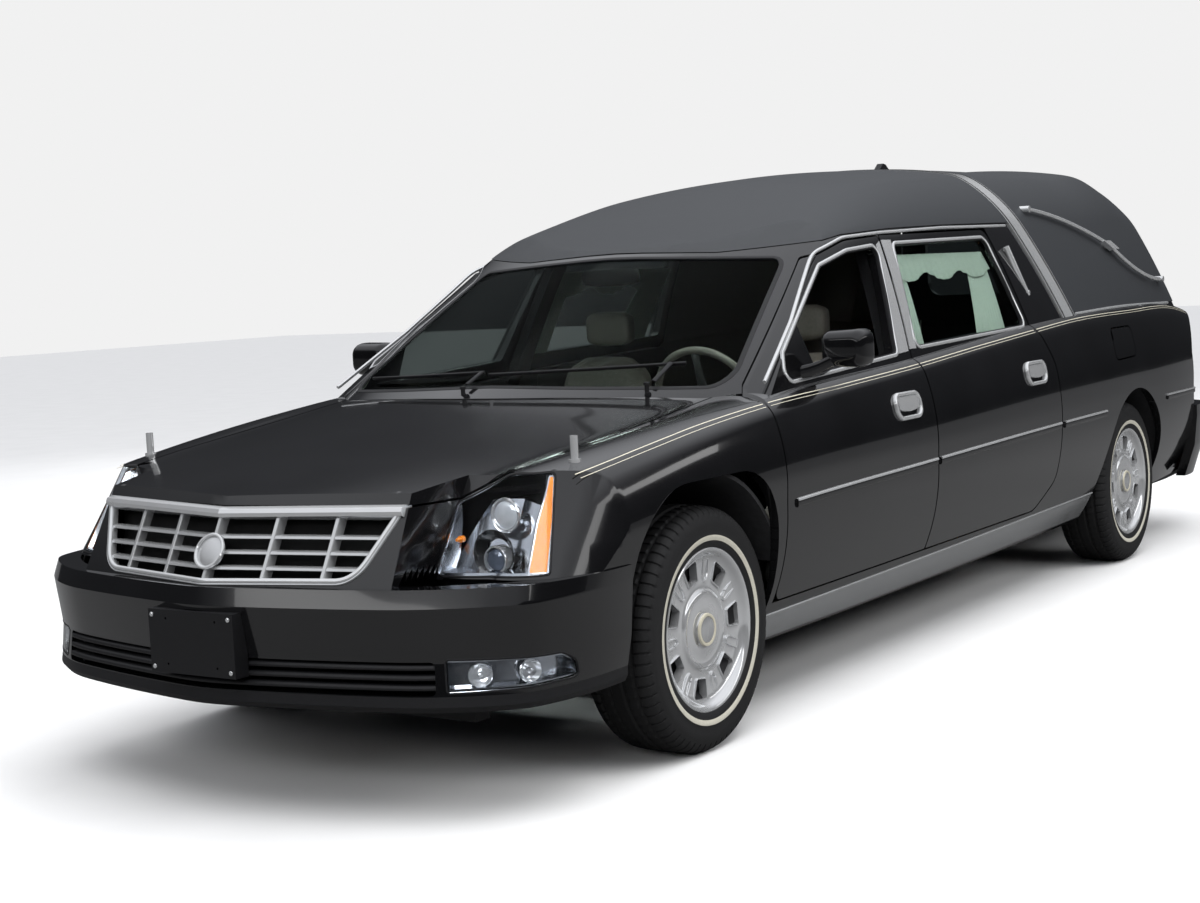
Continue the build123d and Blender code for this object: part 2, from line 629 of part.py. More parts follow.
WHEELHOUSE_INNER = 600
floor_pan = inner_low & block(-800, 800, 424, 4780, RAIL_HIGH, FLOOR_TOP)
wheelhouse = crossbar(WHEELBASE, TYRE_RADIUS, 440, WHEELHOUSE_INNER, 905)
tyre_room = crossbar(WHEELBASE, TYRE_RADIUS, 428, WHEELHOUSE_INNER + 12, 950)
wheelhouse -= tyre_room + block(0, WIDE, 3000, 4300, 0, RAIL_HIGH)
floor_pan = floor_pan - both(tyre_room) + both(inner_low & wheelhouse)
FIREWALL = 424
FIREWALL_DEPTH = 12
floor_pan += block(-795, 795, FIREWALL, FIREWALL + FIREWALL_DEPTH, RAIL_HIGH, COWL_FLOOR)
KICK_UP = (3290, 3910)
KICK_TOP = 460
floor_pan += block(-WHEELHOUSE_INNER, WHEELHOUSE_INNER, *KICK_UP, RAIL_HIGH, KICK_TOP)
floor_pan -= block(-588, 588, KICK_UP[0] + 12, KICK_UP[1] - 12, 0, KICK_TOP - 12)
floor_pan -= crossbar(WHEELBASE, TYRE_RADIUS, 75, -700, 700)
floor_pan -= both(block(SILL_INNER, WIDE, 300, SILL_REAR, 0, SILL_TOP))
floor_pan = solids_of(floor_pan, 1e5)

DECK_Z = 600
DECK_HALF = 570
ROLLER = 16
casket_deck = block(-DECK_HALF, DECK_HALF, 1760, 4830, DECK_Z - 20, DECK_Z)
for station in range(1900, 4900, 480):
    casket_deck += crossbar(station, DECK_Z - 2, ROLLER, -220, 220)
casket_deck += both(block(DECK_HALF - 20, DECK_HALF, 1760, 4830, FLOOR_TOP, DECK_Z))
casket_deck -= block(-601, 601, KICK_UP[0], KICK_UP[1], 0, KICK_TOP)

ENGINE = (-340, 340, -330, 250, 300, 780)
engine = block(*ENGINE) + block(-380, 380, -60, 60, RAIL_HIGH, 420)
fuel_tank = block(-380, 380, 2570, 3290, RAIL_LOW - 35, RAIL_HIGH)
PIPE_X = 530
PIPE = 28
MUFFLER = 58
exhaust = Pos(PIPE_X, at(2700), RAIL_HIGH - PIPE) * Rot(90, 0, 0) * Cylinder(PIPE, 4560)
exhaust += Pos(PIPE_X, at(4400), RAIL_HIGH - MUFFLER - 12) * Rot(90, 0, 0) * Cylinder(MUFFLER, 440)

SEAT = [(900, 420), (1400, 392), (1450, 560), (1590, 1060), (1500, 1090), (1370, 620), (900, 590)]
seat_face = outline(SEAT, [40, 30, 60, 30, 30, 50, 50])
seat_base = block(230, 620, 960, 1380, FLOOR_TOP, 420)
headrest_face = outline([(1500, 1080), (1600, 1080), (1600, 1230), (1520, 1230)], 24)
seats = both(across(seat_face, 150, 680) + seat_base + across(headrest_face, 310, 520))
partition = block(-780, 780, 1690, 1710, SILL_TOP, 900)
partition += block(-SILL_INNER, SILL_INNER, 1690, 1710, FLOOR_TOP, SILL_TOP)

DASH = [(436, 640), (640, 600), (800, 780), (800, 930), (640, 985), (480, 962), (436, 885)]
dashboard = across(outline(DASH, [10, 40, 40, 30, 60, 20, 10]), -740, 740) - cowl
STEER_X = 370
column = Pos(STEER_X, at(800), 870) * Rot(-68, 0, 0)
steering_wheel = column * Pos(0, 0, 150) * Torus(185, 13)
steering_wheel += column * Pos(0, 0, 135) * Cylinder(48, 40)
steering_wheel += column * Pos(0, 0, 60) * Cylinder(28, 130)
for angle in (0, 120, 240):
    steering_wheel += column * Rot(0, 0, angle + 30) * Pos(95, 0, 148) * Box(180, 26, 10)

steering_wheel = solids_of(steering_wheel - dashboard, 1e4)

# Pillar behind the front doors, post of the front hinges, and partition
POST = [(1440, SILL_TOP), (1524, SILL_TOP), (1524, 1035), (1632, 1470), (1548, 1470), (1440, 1035)]
POST_DEPTH = 50
cabin = (inner_low + inner_top) & block(INNER, WIDE, 1380, 1700, 330, 1520)
post = (Pos(-PANEL_GAP, 0, 0) * cabin) & (Pos(-PANEL_GAP, 0, -PANEL_GAP) * cabin)
post -= Pos(-POST_DEPTH, 0, 0) * cabin
head = (cabin - Pos(-POST_DEPTH, 0, 0) * cabin) & block(INNER, WIDE, 1544, 1644, 1462, 1500)
post = (post & across(outline(POST, 2), INNER, WIDE)) + head
hinge_post = block(CARD_INNER - 40, CARD_INNER - 8, FIREWALL + FIREWALL_DEPTH, 490, SILL_TOP, 900)
cabin_frame = solids_of(both(post) + both(hinge_post) + partition, 1e4)

# Wheelhouses of the front wheels, on the fenders
LINER = 452
LINER_WALL = 12
LINER_AT = -26
liner = crossbar(LINER_AT, TYRE_RADIUS, LINER, 475, 920)
liner -= crossbar(LINER_AT, TYRE_RADIUS, LINER - LINER_WALL, 490, 950)
liner = (liner & inner_low) - block(0, WIDE, -600, 500, 0, 300) - block(0, WIDE, 420, 600, 0, WIDE)
liner -= block(835, WIDE, DOOR_FRONT - PANEL_GAP, 600, 0, WIDE)
liner -= block(860, WIDE, -600, -434, 0, 650) + sill_room
apron = block(475, 490, -640, 418, 300, 812) + block(475, 700, -600, 418, 800, 812)
apron -= crossbar(LINER_AT, TYRE_RADIUS, LINER - LINER_WALL, 490, 950)
apron = (apron & inner_low) - lamp_gap
liner -= lamp_gap
front_fenders = solids_of(fenders + both(solids_of(liner + apron, 1e4)), 1e5)

# Bow over the roof
BOW_PROUD = 8
BOW_WIDTH = 136
BOW_LINE = ((2984, 1046), (2709, 1810))
(bow_low, bow_low_z), (bow_high, bow_high_z) = BOW_LINE
bow_face = make_face(Polyline((bow_low, bow_low_z), (bow_low + BOW_WIDTH, bow_low_z),
                              (bow_high + BOW_WIDTH, bow_high_z), (bow_high, bow_high_z), close=True))
bow_room = across(bow_face, -WIDE, WIDE)
roof_bow = solids_of((greenhouse(-BOW_PROUD) & bow_room) - outer_top - outer_low, 1e4)

# Landau bars: two arcs in a slanting plane with a boss at their meeting
LANDAU = [(664, 3070, 1550), (756, 3830, 1385), (820, 4343, 1220)]
LANDAU_RISE = (26, 43)
LANDAU_ROD = 9
landau_points = [Vector(x + 24, at(station), z) for x, station, z in LANDAU]
landau = None
for start, end, side in ((0, 1, 1), (1, 2, -1)):
    a, b = landau_points[start], landau_points[end]
    mid = (a + b) * 0.5 + Vector(-0.45, 0, 1) * (side * LANDAU_RISE[start])
    arc = ThreePointArc(a, mid, b)
    rod = sweep(Plane(origin=a, z_dir=arc % 0) * Circle(LANDAU_ROD), path=arc)
    landau = rod if landau is None else landau + rod
boss_place = Plane(origin=landau_points[1], x_dir=(0, 1, -0.3), z_dir=(1, 0, 0.45))
landau += extrude(boss_place * make_face(Polyline((-80, 0), (0, 22), (80, 0), (0, -22), close=True)),
                  amount=10, both=True)
for point, reach in zip(landau_points, (12, 0, 12)):
    landau += Pos(point.X + (reach - 42) / 2, point.Y, point.Z) * Rot(0, 90, 0) * Cylinder(14, reach + 42)
landau_bars = solids_of(both(landau - outer_top), 1e4)

# Coach lamps on the panels behind the rear doors
COACH = [(740, 2656, 1396), (800, 2716, 1199)]
coach_a, coach_b = (Vector(x + 16, at(station), z) for x, station, z in COACH)
coach_path = Line(coach_a, coach_b)
coach = sweep(Plane(origin=coach_a, z_dir=coach_path % 0) * Circle(13), path=coach_path)
coach += Pos(coach_a.X - 10, coach_a.Y, coach_a.Z - 14) * Rot(0, 90, 0) * Cylinder(8, 40)
coach += Pos(coach_b.X - 10, coach_b.Y, coach_b.Z + 14) * Rot(0, 90, 0) * Cylinder(8, 40)
coach_lamps = solids_of(both(coach - outer_top), 1e4)

# Small outside fittings
FLAG_SOCKET = (793, at(-468))
SOCKET_TOP = 945
SOCKET_DEPTH = 60
SOCKET_BORE = 6.5
flag = Pos(*FLAG_SOCKET, SOCKET_TOP - 45) * Cylinder(SOCKET_BORE + 4.5, 90)
flag += Pos(*FLAG_SOCKET, 868) * Cylinder(17, 30)
flag -= Pos(*FLAG_SOCKET, SOCKET_TOP - SOCKET_DEPTH / 2) * Cylinder(SOCKET_BORE, SOCKET_DEPTH)
flag_holders = solids_of(both(flag - (outer_low & block(700, 900, -560, -380, 700, 1000))), 1e3)
PLATE_HALF = 152.5
PLATE_LOW = 377
PLATE_HIGH = 545
PLATE_HOLE = 3.5
PLATE_SPACING = (178, 121)
plate_bracket = block(-PLATE_HALF, PLATE_HALF, -FRONT_OVERHANG, -1060, PLATE_LOW, PLATE_HIGH) - front_cover
for x in (-PLATE_SPACING[0] / 2, PLATE_SPACING[0] / 2):
    for rise in (-PLATE_SPACING[1] / 2, PLATE_SPACING[1] / 2):
        middle = Pos(x, at(-1050), (PLATE_LOW + PLATE_HIGH) / 2 + rise)
        hole = middle * Rot(90, 0, 0) * Cylinder(PLATE_HOLE, 160)
        plate_bracket -= hole
        front_bumper -= hole
plate_bracket = solids_of(plate_bracket, 1e4)
front_bumper = solids_of(front_bumper, 1e5)
wiper_room = face_cut(GLASS_ARCS, -1, -6) - face_cut(GLASS_ARCS, -1, -22)
wiper_face = make_face(Polyline((-40, 1046), (590, 1062), (590, 1076), (-40, 1058), close=True))
other_face = make_face(Polyline((-640, 1030), (-60, 1052), (-60, 1066), (-640, 1044), close=True))
wipers = wiper_room & (along(wiper_face, -100, 900) + along(other_face, -100, 900))
for x in (-120, 500):
    arm_outline = [(x + 10, 1010), (x + 34, 1010), (x + 60, 1070), (x + 40, 1070)]
    wipers += wiper_room & along(make_face(Polyline(*arm_outline, close=True)), -100, 900)
for x, station in ((535, 306), (-85, 200)):
    wipers += Pos(x, at(station), 1000) * Cylinder(7, 50)
wipers = solids_of(wipers - outer_low - outer_top, 1e3)
FIN = [(3060, 1735), (3220, 1735), (3212, 1752), (3160, 1786), (3134, 1790)]
antenna_fin = across(outline(FIN, 2), -14, 14)
antenna_fin = solids_of(antenna_fin - outer_top, 1e3)

# Door mirrors
MIRROR = (962, at(800), 1098)
mirror_shell = Pos(*MIRROR) * fillet(Box(150, 90, 124).edges(), 26)
mirror_arm = block(800, 930, 690, 790, 1016, 1058) - outer_top - outer_low
mirror_left = solids_of(mirror_shell + mirror_arm, 1e4)

# Write every piece
pieces = {
    "floor_pan": floor_pan, "chassis_frame": chassis_frame, "front_subframe": front_subframe,
    "rear_axle": rear_axle, "engine": engine, "fuel_tank": fuel_tank, "exhaust": exhaust,
    "front_fenders": front_fenders, "rear_quarters": quarters, "rockers": rockers, "cowl": cowl,
    "cabin_frame": cabin_frame, "roof": roof, "roof_bow": roof_bow, "landau_bars": landau_bars,
    "coach_lamps": coach_lamps, "front_bumper": front_bumper, "rear_bumper": rear_bumper,
    "grille": grille, "headlamps": headlamps, "fog_lamps": fog_lamps, "tail_lamps": tail_lamps,
    "windshield": windshield, "wipers": wipers, "plate_bracket": plate_bracket,
    "flag_holders": flag_holders, "antenna_fin": antenna_fin, "dashboard": dashboard,
    "steering_wheel": steering_wheel, "seats": seats, "casket_deck": casket_deck,
    "hood": hood, "fuel_door": fuel_door, "load_door": load_door, "load_glass": load_pane,
    "door_front_left": front_door, "door_front_right": mirrored(front_door),
    "door_rear_left": rear_door, "door_rear_right": mirrored(rear_door),
    "glass_front_right": mirrored(front_pane),
    "glass_rear_left": rear_pane, "glass_rear_right": mirrored(rear_pane),
    "mirror_left": mirror_left, "mirror_right": mirrored(mirror_left),
    "drapes_left": drape, "drapes_right": mirrored(drape),
    "knuckle_left": knuckle, "knuckle_right": mirrored(knuckle),
}
for end, station in (("front", 0), ("rear", WHEELBASE)):
    pieces[f"tyre_{end}_left"] = tyre(station)
    pieces[f"tyre_{end}_right"] = mirrored(tyre(station))
    pieces[f"wheel_{end}_left"] = wheel(station)
    pieces[f"wheel_{end}_right"] = mirrored(wheel(station))
for name, shape in pieces.items():
    keep(name, shape)
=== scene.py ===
"""Looks of the hearse: dense panels cut from its solids' sections, with trims, lamps, wheels and cabin."""
import json
import math

import bmesh
import bpy
import numpy as np
from mathutils import Matrix, Vector
from mathutils.bvhtree import BVHTree


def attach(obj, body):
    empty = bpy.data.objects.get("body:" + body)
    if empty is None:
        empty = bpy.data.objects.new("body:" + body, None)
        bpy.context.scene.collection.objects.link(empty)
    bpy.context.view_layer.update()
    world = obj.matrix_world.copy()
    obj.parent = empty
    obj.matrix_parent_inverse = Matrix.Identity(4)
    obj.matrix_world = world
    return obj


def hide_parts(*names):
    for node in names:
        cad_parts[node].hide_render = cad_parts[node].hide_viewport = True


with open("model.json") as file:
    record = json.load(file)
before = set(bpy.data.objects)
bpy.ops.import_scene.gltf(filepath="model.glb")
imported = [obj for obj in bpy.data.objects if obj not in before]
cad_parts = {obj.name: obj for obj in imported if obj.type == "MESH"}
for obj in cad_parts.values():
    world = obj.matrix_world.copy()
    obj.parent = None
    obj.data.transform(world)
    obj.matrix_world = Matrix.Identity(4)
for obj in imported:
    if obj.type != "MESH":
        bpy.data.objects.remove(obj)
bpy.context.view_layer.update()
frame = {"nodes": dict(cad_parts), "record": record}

scene = bpy.context.scene

# Millimetres, stations behind the front axle, as the solids have them
AXLE = -1971
WHEELBASE = 3640
TRACK = 797
TYRE_R = 351
WIDE = 1000
SKIN = 30
CABIN_X = 380
NOSE_FAR, TAIL_FAR = -1500, 5600
LOAD_START, LOAD_END = 4250, 5200
STEER_SWEEP = 397.5
GAP = 6
DIAGONAL = math.sqrt(0.5)
SIDES = (("left", 1), ("right", -1))

# Each row: station, half width and height of sill, waist, shoulder and crown, then the centre's height
LOWER_ROWS = [
    (-1150, 745, 240, 860, 590, 800, 745, 560, 785, 797),
    (-560, 775, 240, 925, 630, 872, 840, 660, 868, 880),
    (0, 800, 230, 947, 655, 903, 915, 715, 932, 962),
    (394, 805, 225, 952, 668, 905, 952, 725, 978, 1030),
    (1480, 808, 222, 955, 680, 903, 1006, 800, 1022, 1036),
    (2600, 808, 226, 955, 690, 901, 1068, 800, 1084, 1096),
    (3640, 806, 236, 952, 696, 897, 1098, 795, 1112, 1120),
    (4370, 795, 250, 938, 702, 885, 1088, 785, 1100, 1106),
    (5050, 760, 280, 880, 720, 825, 1000, 735, 1012, 1020),
]
LOWER_BULGES = (40, 20, 14)
# Each row: station, half width and height of belt, drip rail and crown, then the centre's height
ROOF_ROWS = [
    (0, 890, 880, 668, 1384, 500, 1404, 1414),
    (1000, 890, 930, 690, 1408, 510, 1428, 1438),
    (1320, 890, 945, 700, 1452, 516, 1534, 1556),
    (1700, 890, 960, 701, 1470, 512, 1622, 1662),
    (2150, 890, 985, 701, 1480, 505, 1670, 1716),
    (2700, 890, 1015, 701, 1486, 500, 1692, 1742),
    (3700, 888, 1040, 700, 1488, 500, 1696, 1750),
    (4310, 882, 1040, 696, 1483, 494, 1687, 1743),
    (4380, 881, 1040, 695, 1482, 486, 1666, 1725),
    (4430, 880, 1040, 694, 1480, 472, 1632, 1693),
    (4480, 879, 1040, 692, 1474, 452, 1584, 1644),
    (4750, 876, 1040, 680, 1380, 430, 1440, 1480),
]
ROOF_BULGES = (10, 20)
GLASS_ARCS = [(800, -187, 820, 123), (1600, 1300, 550, 1414)]
REAR_ARCS = [(900, 4640, 820, 4540), (1800, 4400, 700, 4310)]


# Meshes
def placed(name, data):
    """A new object in the scene."""
    obj = bpy.data.objects.new(name, data)
    scene.collection.objects.link(obj)
    return obj


def creased(obj, degrees):
    """The piece with sharp edges where its faces turn more than an angle."""
    obj.data.set_sharp_from_angle(angle=math.radians(degrees))
    return obj


def put(name, verts, faces, smooth=True):
    """Object from millimetre points (x, station, z)."""
    pts = np.array(verts, float).reshape(-1, 3)
    pts = np.stack([pts[:, 0], pts[:, 1] + AXLE, pts[:, 2]], 1) * 0.001
    mesh = bpy.data.meshes.new(name)
    mesh.from_pydata(pts.tolist(), [], faces)
    if smooth:
        mesh.polygons.foreach_set("use_smooth", [True] * len(mesh.polygons))
    mesh.update()
    return placed(name, mesh)


def drop(*objs):
    """Takes helpers out of the scene."""
    for obj in objs:
        bpy.data.objects.remove(obj, do_unlink=True)


def copy_of(obj, name):
    """The same mesh as a new piece."""
    return placed(name, obj.data.copy())


def applied(obj):
    """The piece as a plain mesh, with its modifiers done."""
    bpy.context.view_layer.update()
    mesh = bpy.data.meshes.new_from_object(obj.evaluated_get(bpy.context.evaluated_depsgraph_get()))
    obj.modifiers.clear()
    obj.data = mesh
    return obj


def cut(obj, tool, how="DIFFERENCE", keep_tool=True):
    """Boolean of closed meshes, applied at once."""
    mod = obj.modifiers.new("cut", "BOOLEAN")
    mod.operation = how
    mod.object = tool
    mod.solver = "MANIFOLD"
    applied(obj)
    if not keep_tool:
        drop(tool)
    return obj


def carve(obj, tool):
    """Cuts a tool away from a piece and drops the tool."""
    return cut(obj, tool, keep_tool=False)


def shared(obj, name, tool):
    """What a piece shares with a tool, as a new piece. The tool is dropped."""
    return cut(copy_of(obj, name), tool, "INTERSECT", False)


def split_off(obj, name, tool):
    """The part of a piece inside a tool, cut off it as a new piece. The tool is dropped."""
    part = cut(copy_of(obj, name), tool, "INTERSECT")
    carve(obj, tool)
    return part


def ring_faces(rings, count, closed=False):
    """Quads between rings of count points each, the last ring joined to the first if closed."""
    faces = []
    for k in range(rings if closed else rings - 1):
        j = (k + 1) % rings
        faces += [(k * count + i, k * count + (i + 1) % count, j * count + (i + 1) % count, j * count + i)
                  for i in range(count)]
    return faces


def tube_between(name, loops, closed_ends=True):
    """Closed mesh through loops of equal count, each an array of points, with flat end caps."""
    count = len(loops[0])
    verts = np.concatenate([np.asarray(loop, float) for loop in loops])
    faces = ring_faces(len(loops), count)
    if closed_ends:
        faces.append(tuple(range(count))[::-1])
        faces.append(tuple(range((len(loops) - 1) * count, len(loops) * count)))
    obj = put(name, verts, faces)
    face_outward(obj)
    return obj


def face_outward(obj, weld_m=0.0):
    """Turns a closed mesh's faces outward, its doubled points joined first if asked."""
    bm = bmesh.new()
    bm.from_mesh(obj.data)
    if weld_m:
        bmesh.ops.remove_doubles(bm, verts=bm.verts, dist=weld_m)
    bmesh.ops.recalc_face_normals(bm, faces=bm.faces)
    bm.to_mesh(obj.data)
    bm.free()


def merged(name, objs):
    """One mesh that holds the meshes of several pieces."""
    bm = bmesh.new()
    for obj in objs:
        bm.from_mesh(obj.data)
    mesh = bpy.data.meshes.new(name)
    bm.to_mesh(mesh)
    bm.free()
    return mesh


def rounded(points, radii, turn=7.0):
    """A closed outline with its corners rounded off."""
    pts = np.array(points, float)
    n = len(pts)
    if np.isscalar(radii):
        radii = [radii] * n
    out = []
    for i in range(n):
        p, a, b = pts[i], pts[i - 1], pts[(i + 1) % n]
        u, v = a - p, b - p
        lu, lv = np.linalg.norm(u), np.linalg.norm(v)
        u, v = u / lu, v / lv
        half = math.acos(max(-1, min(1, float(u @ v)))) / 2
        reach = min(radii[i] / math.tan(half), lu * 0.49, lv * 0.49) if half > 0.01 else 0
        radius = reach * math.tan(half)
        middle = p + (u + v) / np.linalg.norm(u + v) * (radius / math.sin(half))
        start, end = p + u * reach, p + v * reach
        steps = max(2, int(math.degrees(math.pi - 2 * half) / turn) + 1)
        a0 = math.atan2(*(start - middle)[::-1])
        a1 = math.atan2(*(end - middle)[::-1])
        swing = (a1 - a0 + math.pi) % (2 * math.pi) - math.pi
        for k in range(steps + 1):
            angle = a0 + swing * k / steps
            out.append(middle + radius * np.array([math.cos(angle), math.sin(angle)]))
    return np.array(out)


def grown(points, by):
    """A closed outline moved outward, by its corners' mitres."""
    pts = np.array(points, float)
    before, after = np.roll(pts, 1, 0), np.roll(pts, -1, 0)
    area = np.sum(pts[:, 0] * after[:, 1] - after[:, 0] * pts[:, 1])
    side = 1 if area > 0 else -1

    def normals(a, b):
        d = b - a
        d /= np.maximum(np.linalg.norm(d, axis=1), 1e-9)[:, None]
        return np.stack([d[:, 1], -d[:, 0]], 1) * side

    n1, n2 = normals(before, pts), normals(pts, after)
    mitre = n1 + n2
    scale = np.maximum(1 + np.sum(n1 * n2, 1), 0.4)
    return pts + by * mitre / scale[:, None]


def raised(outline, axis, at):
    """A flat outline in space, at a place along axis 0, 1 or 2."""
    return np.insert(np.asarray(outline, float), axis, at, axis=1)


def prism(outline, start, end, axis, name="prism"):
    """An outline pushed along axis 0, 1 or 2, from start to end."""
    return tube_between(name, [raised(outline, axis, at) for at in (start, end)])


def prism_x(outline, x0, x1, name="prism"):
    """A side outline of (station, z) pushed across."""
    return prism(outline, x0, x1, 0, name)


def prism_y(outline, s0, s1, name="prism"):
    """A front outline of (x, z) pushed lengthwise."""
    return prism(outline, s0, s1, 1, name)


def prism_z(outline, z0, z1, name="prism"):
    """A plan outline of (x, station) pushed up."""
    return prism(outline, z0, z1, 2, name)


def block(x0, x1, s0, s1, z0, z1, name="block"):
    return prism_z([(x0, s0), (x1, s0), (x1, s1), (x0, s1)], z0, z1, name)


def barrel(station, z, radius, x0, x1, count=72, name="barrel"):
    """Cylinder along X."""
    angle = np.linspace(0, 2 * np.pi, count, endpoint=False)
    return prism_x(np.stack([station + radius * np.cos(angle), z + radius * np.sin(angle)], 1), x0, x1, name)


# Surfaces
def rows_at(rows, stations):
    """The rows' columns at each station, on a smooth curve through every row."""
    rows = np.array(rows, float)
    x, vals = rows[:, 0], rows[:, 1:]
    step = np.diff(x)[:, None]
    slope = np.diff(vals, axis=0) / step
    mid = (slope[:-1] * step[1:] + slope[1:] * step[:-1]) / (step[1:] + step[:-1])
    tangent = np.vstack([slope[:1], mid, slope[-1:]])
    k = np.clip(np.searchsorted(x, stations, side="right") - 1, 0, len(x) - 2)
    h = (x[k + 1] - x[k])[:, None]
    u = ((stations - x[k])[:, None]) / h
    return ((2 * u**3 - 3 * u**2 + 1) * vals[k] + (u**3 - 2 * u**2 + u) * h * tangent[k]
            + (3 * u**2 - 2 * u**3) * vals[k + 1] + (u**3 - u**2) * h * tangent[k + 1])


def arc_rows(a, b, out, n, part=1.0):
    """Points on the arcs from a to b, standing out to the right by out in the middle."""
    u = np.linspace(0, part, n)[None, :]
    d = b - a
    chord = np.linalg.norm(d, axis=1)[:, None]
    out = np.broadcast_to(np.asarray(out, float), (len(a),))[:, None]
    radius = (chord**2 / 4 + out**2) / (2 * out)
    off = np.sqrt(radius**2 - (chord * (u - 0.5)) ** 2) - (radius - out)
    normal = np.stack([d[:, 1], -d[:, 0]], 1) / chord
    return a[:, None] + d[:, None] * u[..., None] + normal[:, None] * off[..., None]


class Surface:
    """Half a symmetrical skin: points x, z for each station, with its normals."""

    def __init__(self, stations, half):
        self.stations, self.half = stations, half
        y = np.broadcast_to(stations[:, None], half.shape[:2])
        p = np.stack([half[..., 0], y, half[..., 1]], -1)
        n = np.cross(np.gradient(p, axis=1), np.gradient(p, axis=0))
        n /= np.maximum(np.linalg.norm(n, axis=2), 1e-9)[..., None]
        mid = n.shape[1] // 2
        if n[n.shape[0] // 2, mid, 0] < 0:
            n = -n
        n[:, -1, 0] = 0
        self.points, self.normals = p, n

    def solid(self, name):
        s, half = self.stations, self.half
        other = half[:, :-1][:, ::-1] * np.array([-1, 1])
        ring = np.concatenate([half, other], 1)
        loops = [raised(r, 1, y) for y, r in zip(s, ring)]
        return tube_between(name, loops)

    def edge(self, station, z=None, x=None, off=0.0):
        """Point on the skin at a station and a height or half width, moved out along its normal."""
        i = (station - self.stations[0]) / (self.stations[1] - self.stations[0])
        k = int(np.clip(i, 0, len(self.stations) - 2))
        f = i - k
        row = self.half[k] * (1 - f) + self.half[k + 1] * f
        norm = self.normals[k] * (1 - f) + self.normals[k + 1] * f
        if z is not None:
            j = np.argmin(np.abs(row[:, 1] - z) + (row[:, 0] < 300) * 1e6)
        else:
            j = np.argmin(np.abs(row[:, 0] - x) + (row[:, 1] < row[:, 1].max() - 420) * 1e6)
        lo = max(j - 1, 0)
        key = row[:, 1] if z is not None else row[:, 0]
        want = z if z is not None else x
        j0 = lo if (key[lo] - want) * (key[j] - want) <= 0 else min(j, len(row) - 2)
        span = key[j0 + 1] - key[j0]
        w = 0.0 if abs(span) < 1e-9 else float(np.clip((want - key[j0]) / span, 0, 1))
        q = row[j0] * (1 - w) + row[j0 + 1] * w
        n = norm[j0] * (1 - w) + norm[j0 + 1] * w
        n /= np.linalg.norm(n)
        return np.array([q[0], station, q[1]]) + n * off, n


def half_skin(segments, count, soft):
    """Joins arcs into one polyline of count points a station, its creases softened."""
    line = np.concatenate([segments[0]] + [seg[:, 1:] for seg in segments[1:]], 1)
    length = np.concatenate([np.zeros((len(line), 1)),
                             np.cumsum(np.linalg.norm(np.diff(line, axis=1), axis=2), axis=1)], 1)
    ends = np.cumsum([seg.shape[1] - 1 for seg in segments])[:-1]
    out = np.zeros((len(line), count, 2))
    weight = np.zeros((len(line), count))
    for k in range(len(line)):
        t = np.linspace(0, length[k, -1], count)
        out[k, :, 0] = np.interp(t, length[k], line[k, :, 0])
        out[k, :, 1] = np.interp(t, length[k], line[k, :, 1])
        for end, spread in zip(ends, soft):
            weight[k] = np.maximum(weight[k], np.exp(-((t - length[k, end]) / spread) ** 2))
    for _ in range(6):
        pull = np.zeros_like(out)
        pull[:, 1:-1] = (out[:, :-2] + out[:, 2:]) / 2 - out[:, 1:-1]
        out += pull * weight[..., None] * 0.5
    return out


def lower_surface(inset=0.0, stations=np.arange(-1150, 5051, 20.0), count=110):
    """The lower body's skin, moved inward by an inset."""
    c = rows_at(LOWER_ROWS, stations)
    sill, sill_z, waist, waist_z, shoulder, shoulder_z, crown, crown_z, centre_z = c.T
    low = np.stack([sill - inset, sill_z - (60 if inset > 0 else 0)], 1)
    mid = np.stack([waist - inset, waist_z], 1)
    high = np.stack([shoulder - inset, shoulder_z - inset], 1)
    top = np.stack([crown - inset, crown_z - inset], 1)
    b1, b2, b3 = LOWER_BULGES
    segments = [arc_rows(low, mid, b1, 40), arc_rows(mid, high, b2, 40), arc_rows(high, top, b3, 30),
                arc_rows(top, top * [-1, 1], centre_z - crown_z, 40, 0.5)]
    return Surface(stations, half_skin(segments, count, (30, 22, 40)))


def roof_surface(inset=0.0, stations=np.arange(0, 4741, 20.0), count=90):
    """The roof's skin, moved inward by an inset."""
    c = rows_at(ROOF_ROWS, stations)
    belt, belt_z, drip, drip_z, crown, crown_z, centre_z = c.T
    low = np.stack([belt - inset, belt_z - (60 if inset > 0 else 0)], 1)
    rail = np.stack([drip - inset, drip_z - inset / 2], 1)
    top = np.stack([crown - inset / 2, crown_z - inset], 1)
    b1, b2 = ROOF_BULGES
    segments = [arc_rows(low, rail, b1, 40), arc_rows(rail, top, b2, 30),
                arc_rows(top, top * [-1, 1], centre_z - crown_z, 40, 0.5)]
    return Surface(stations, half_skin(segments, count, (14, 60)))


def station_on(arcs, x, z):
    """Station of a bowed slanting face, ruled between a low and a high arc."""
    ends = []
    for height, middle, half, end in arcs:
        sag = end - middle
        radius = (half**2 + sag**2) / (2 * abs(sag))
        lean = radius - np.sqrt(radius**2 - np.asarray(x, float) ** 2)
        ends.append((height, middle + math.copysign(1, sag) * lean))
    (z0, s0), (z1, s1) = ends
    return s0 + (s1 - s0) * (z - z0) / (z1 - z0)


def beyond(arcs, towards, shift=0.0, name="beyond"):
    """Everything ahead of (towards -1) or behind (towards 1) a bowed slanting face."""
    xs = np.linspace(-1000, 1000, 81)
    loops = []
    for z in np.linspace(800, 1800, 21):
        s = station_on(arcs, xs, z) + shift
        far = s[40] + towards * 2500
        loops.append(np.concatenate([np.stack([xs, s, np.full(81, z)], 1),
                                     [[1000, far, z], [-1000, far, z]]]))
    return tube_between(name, loops)


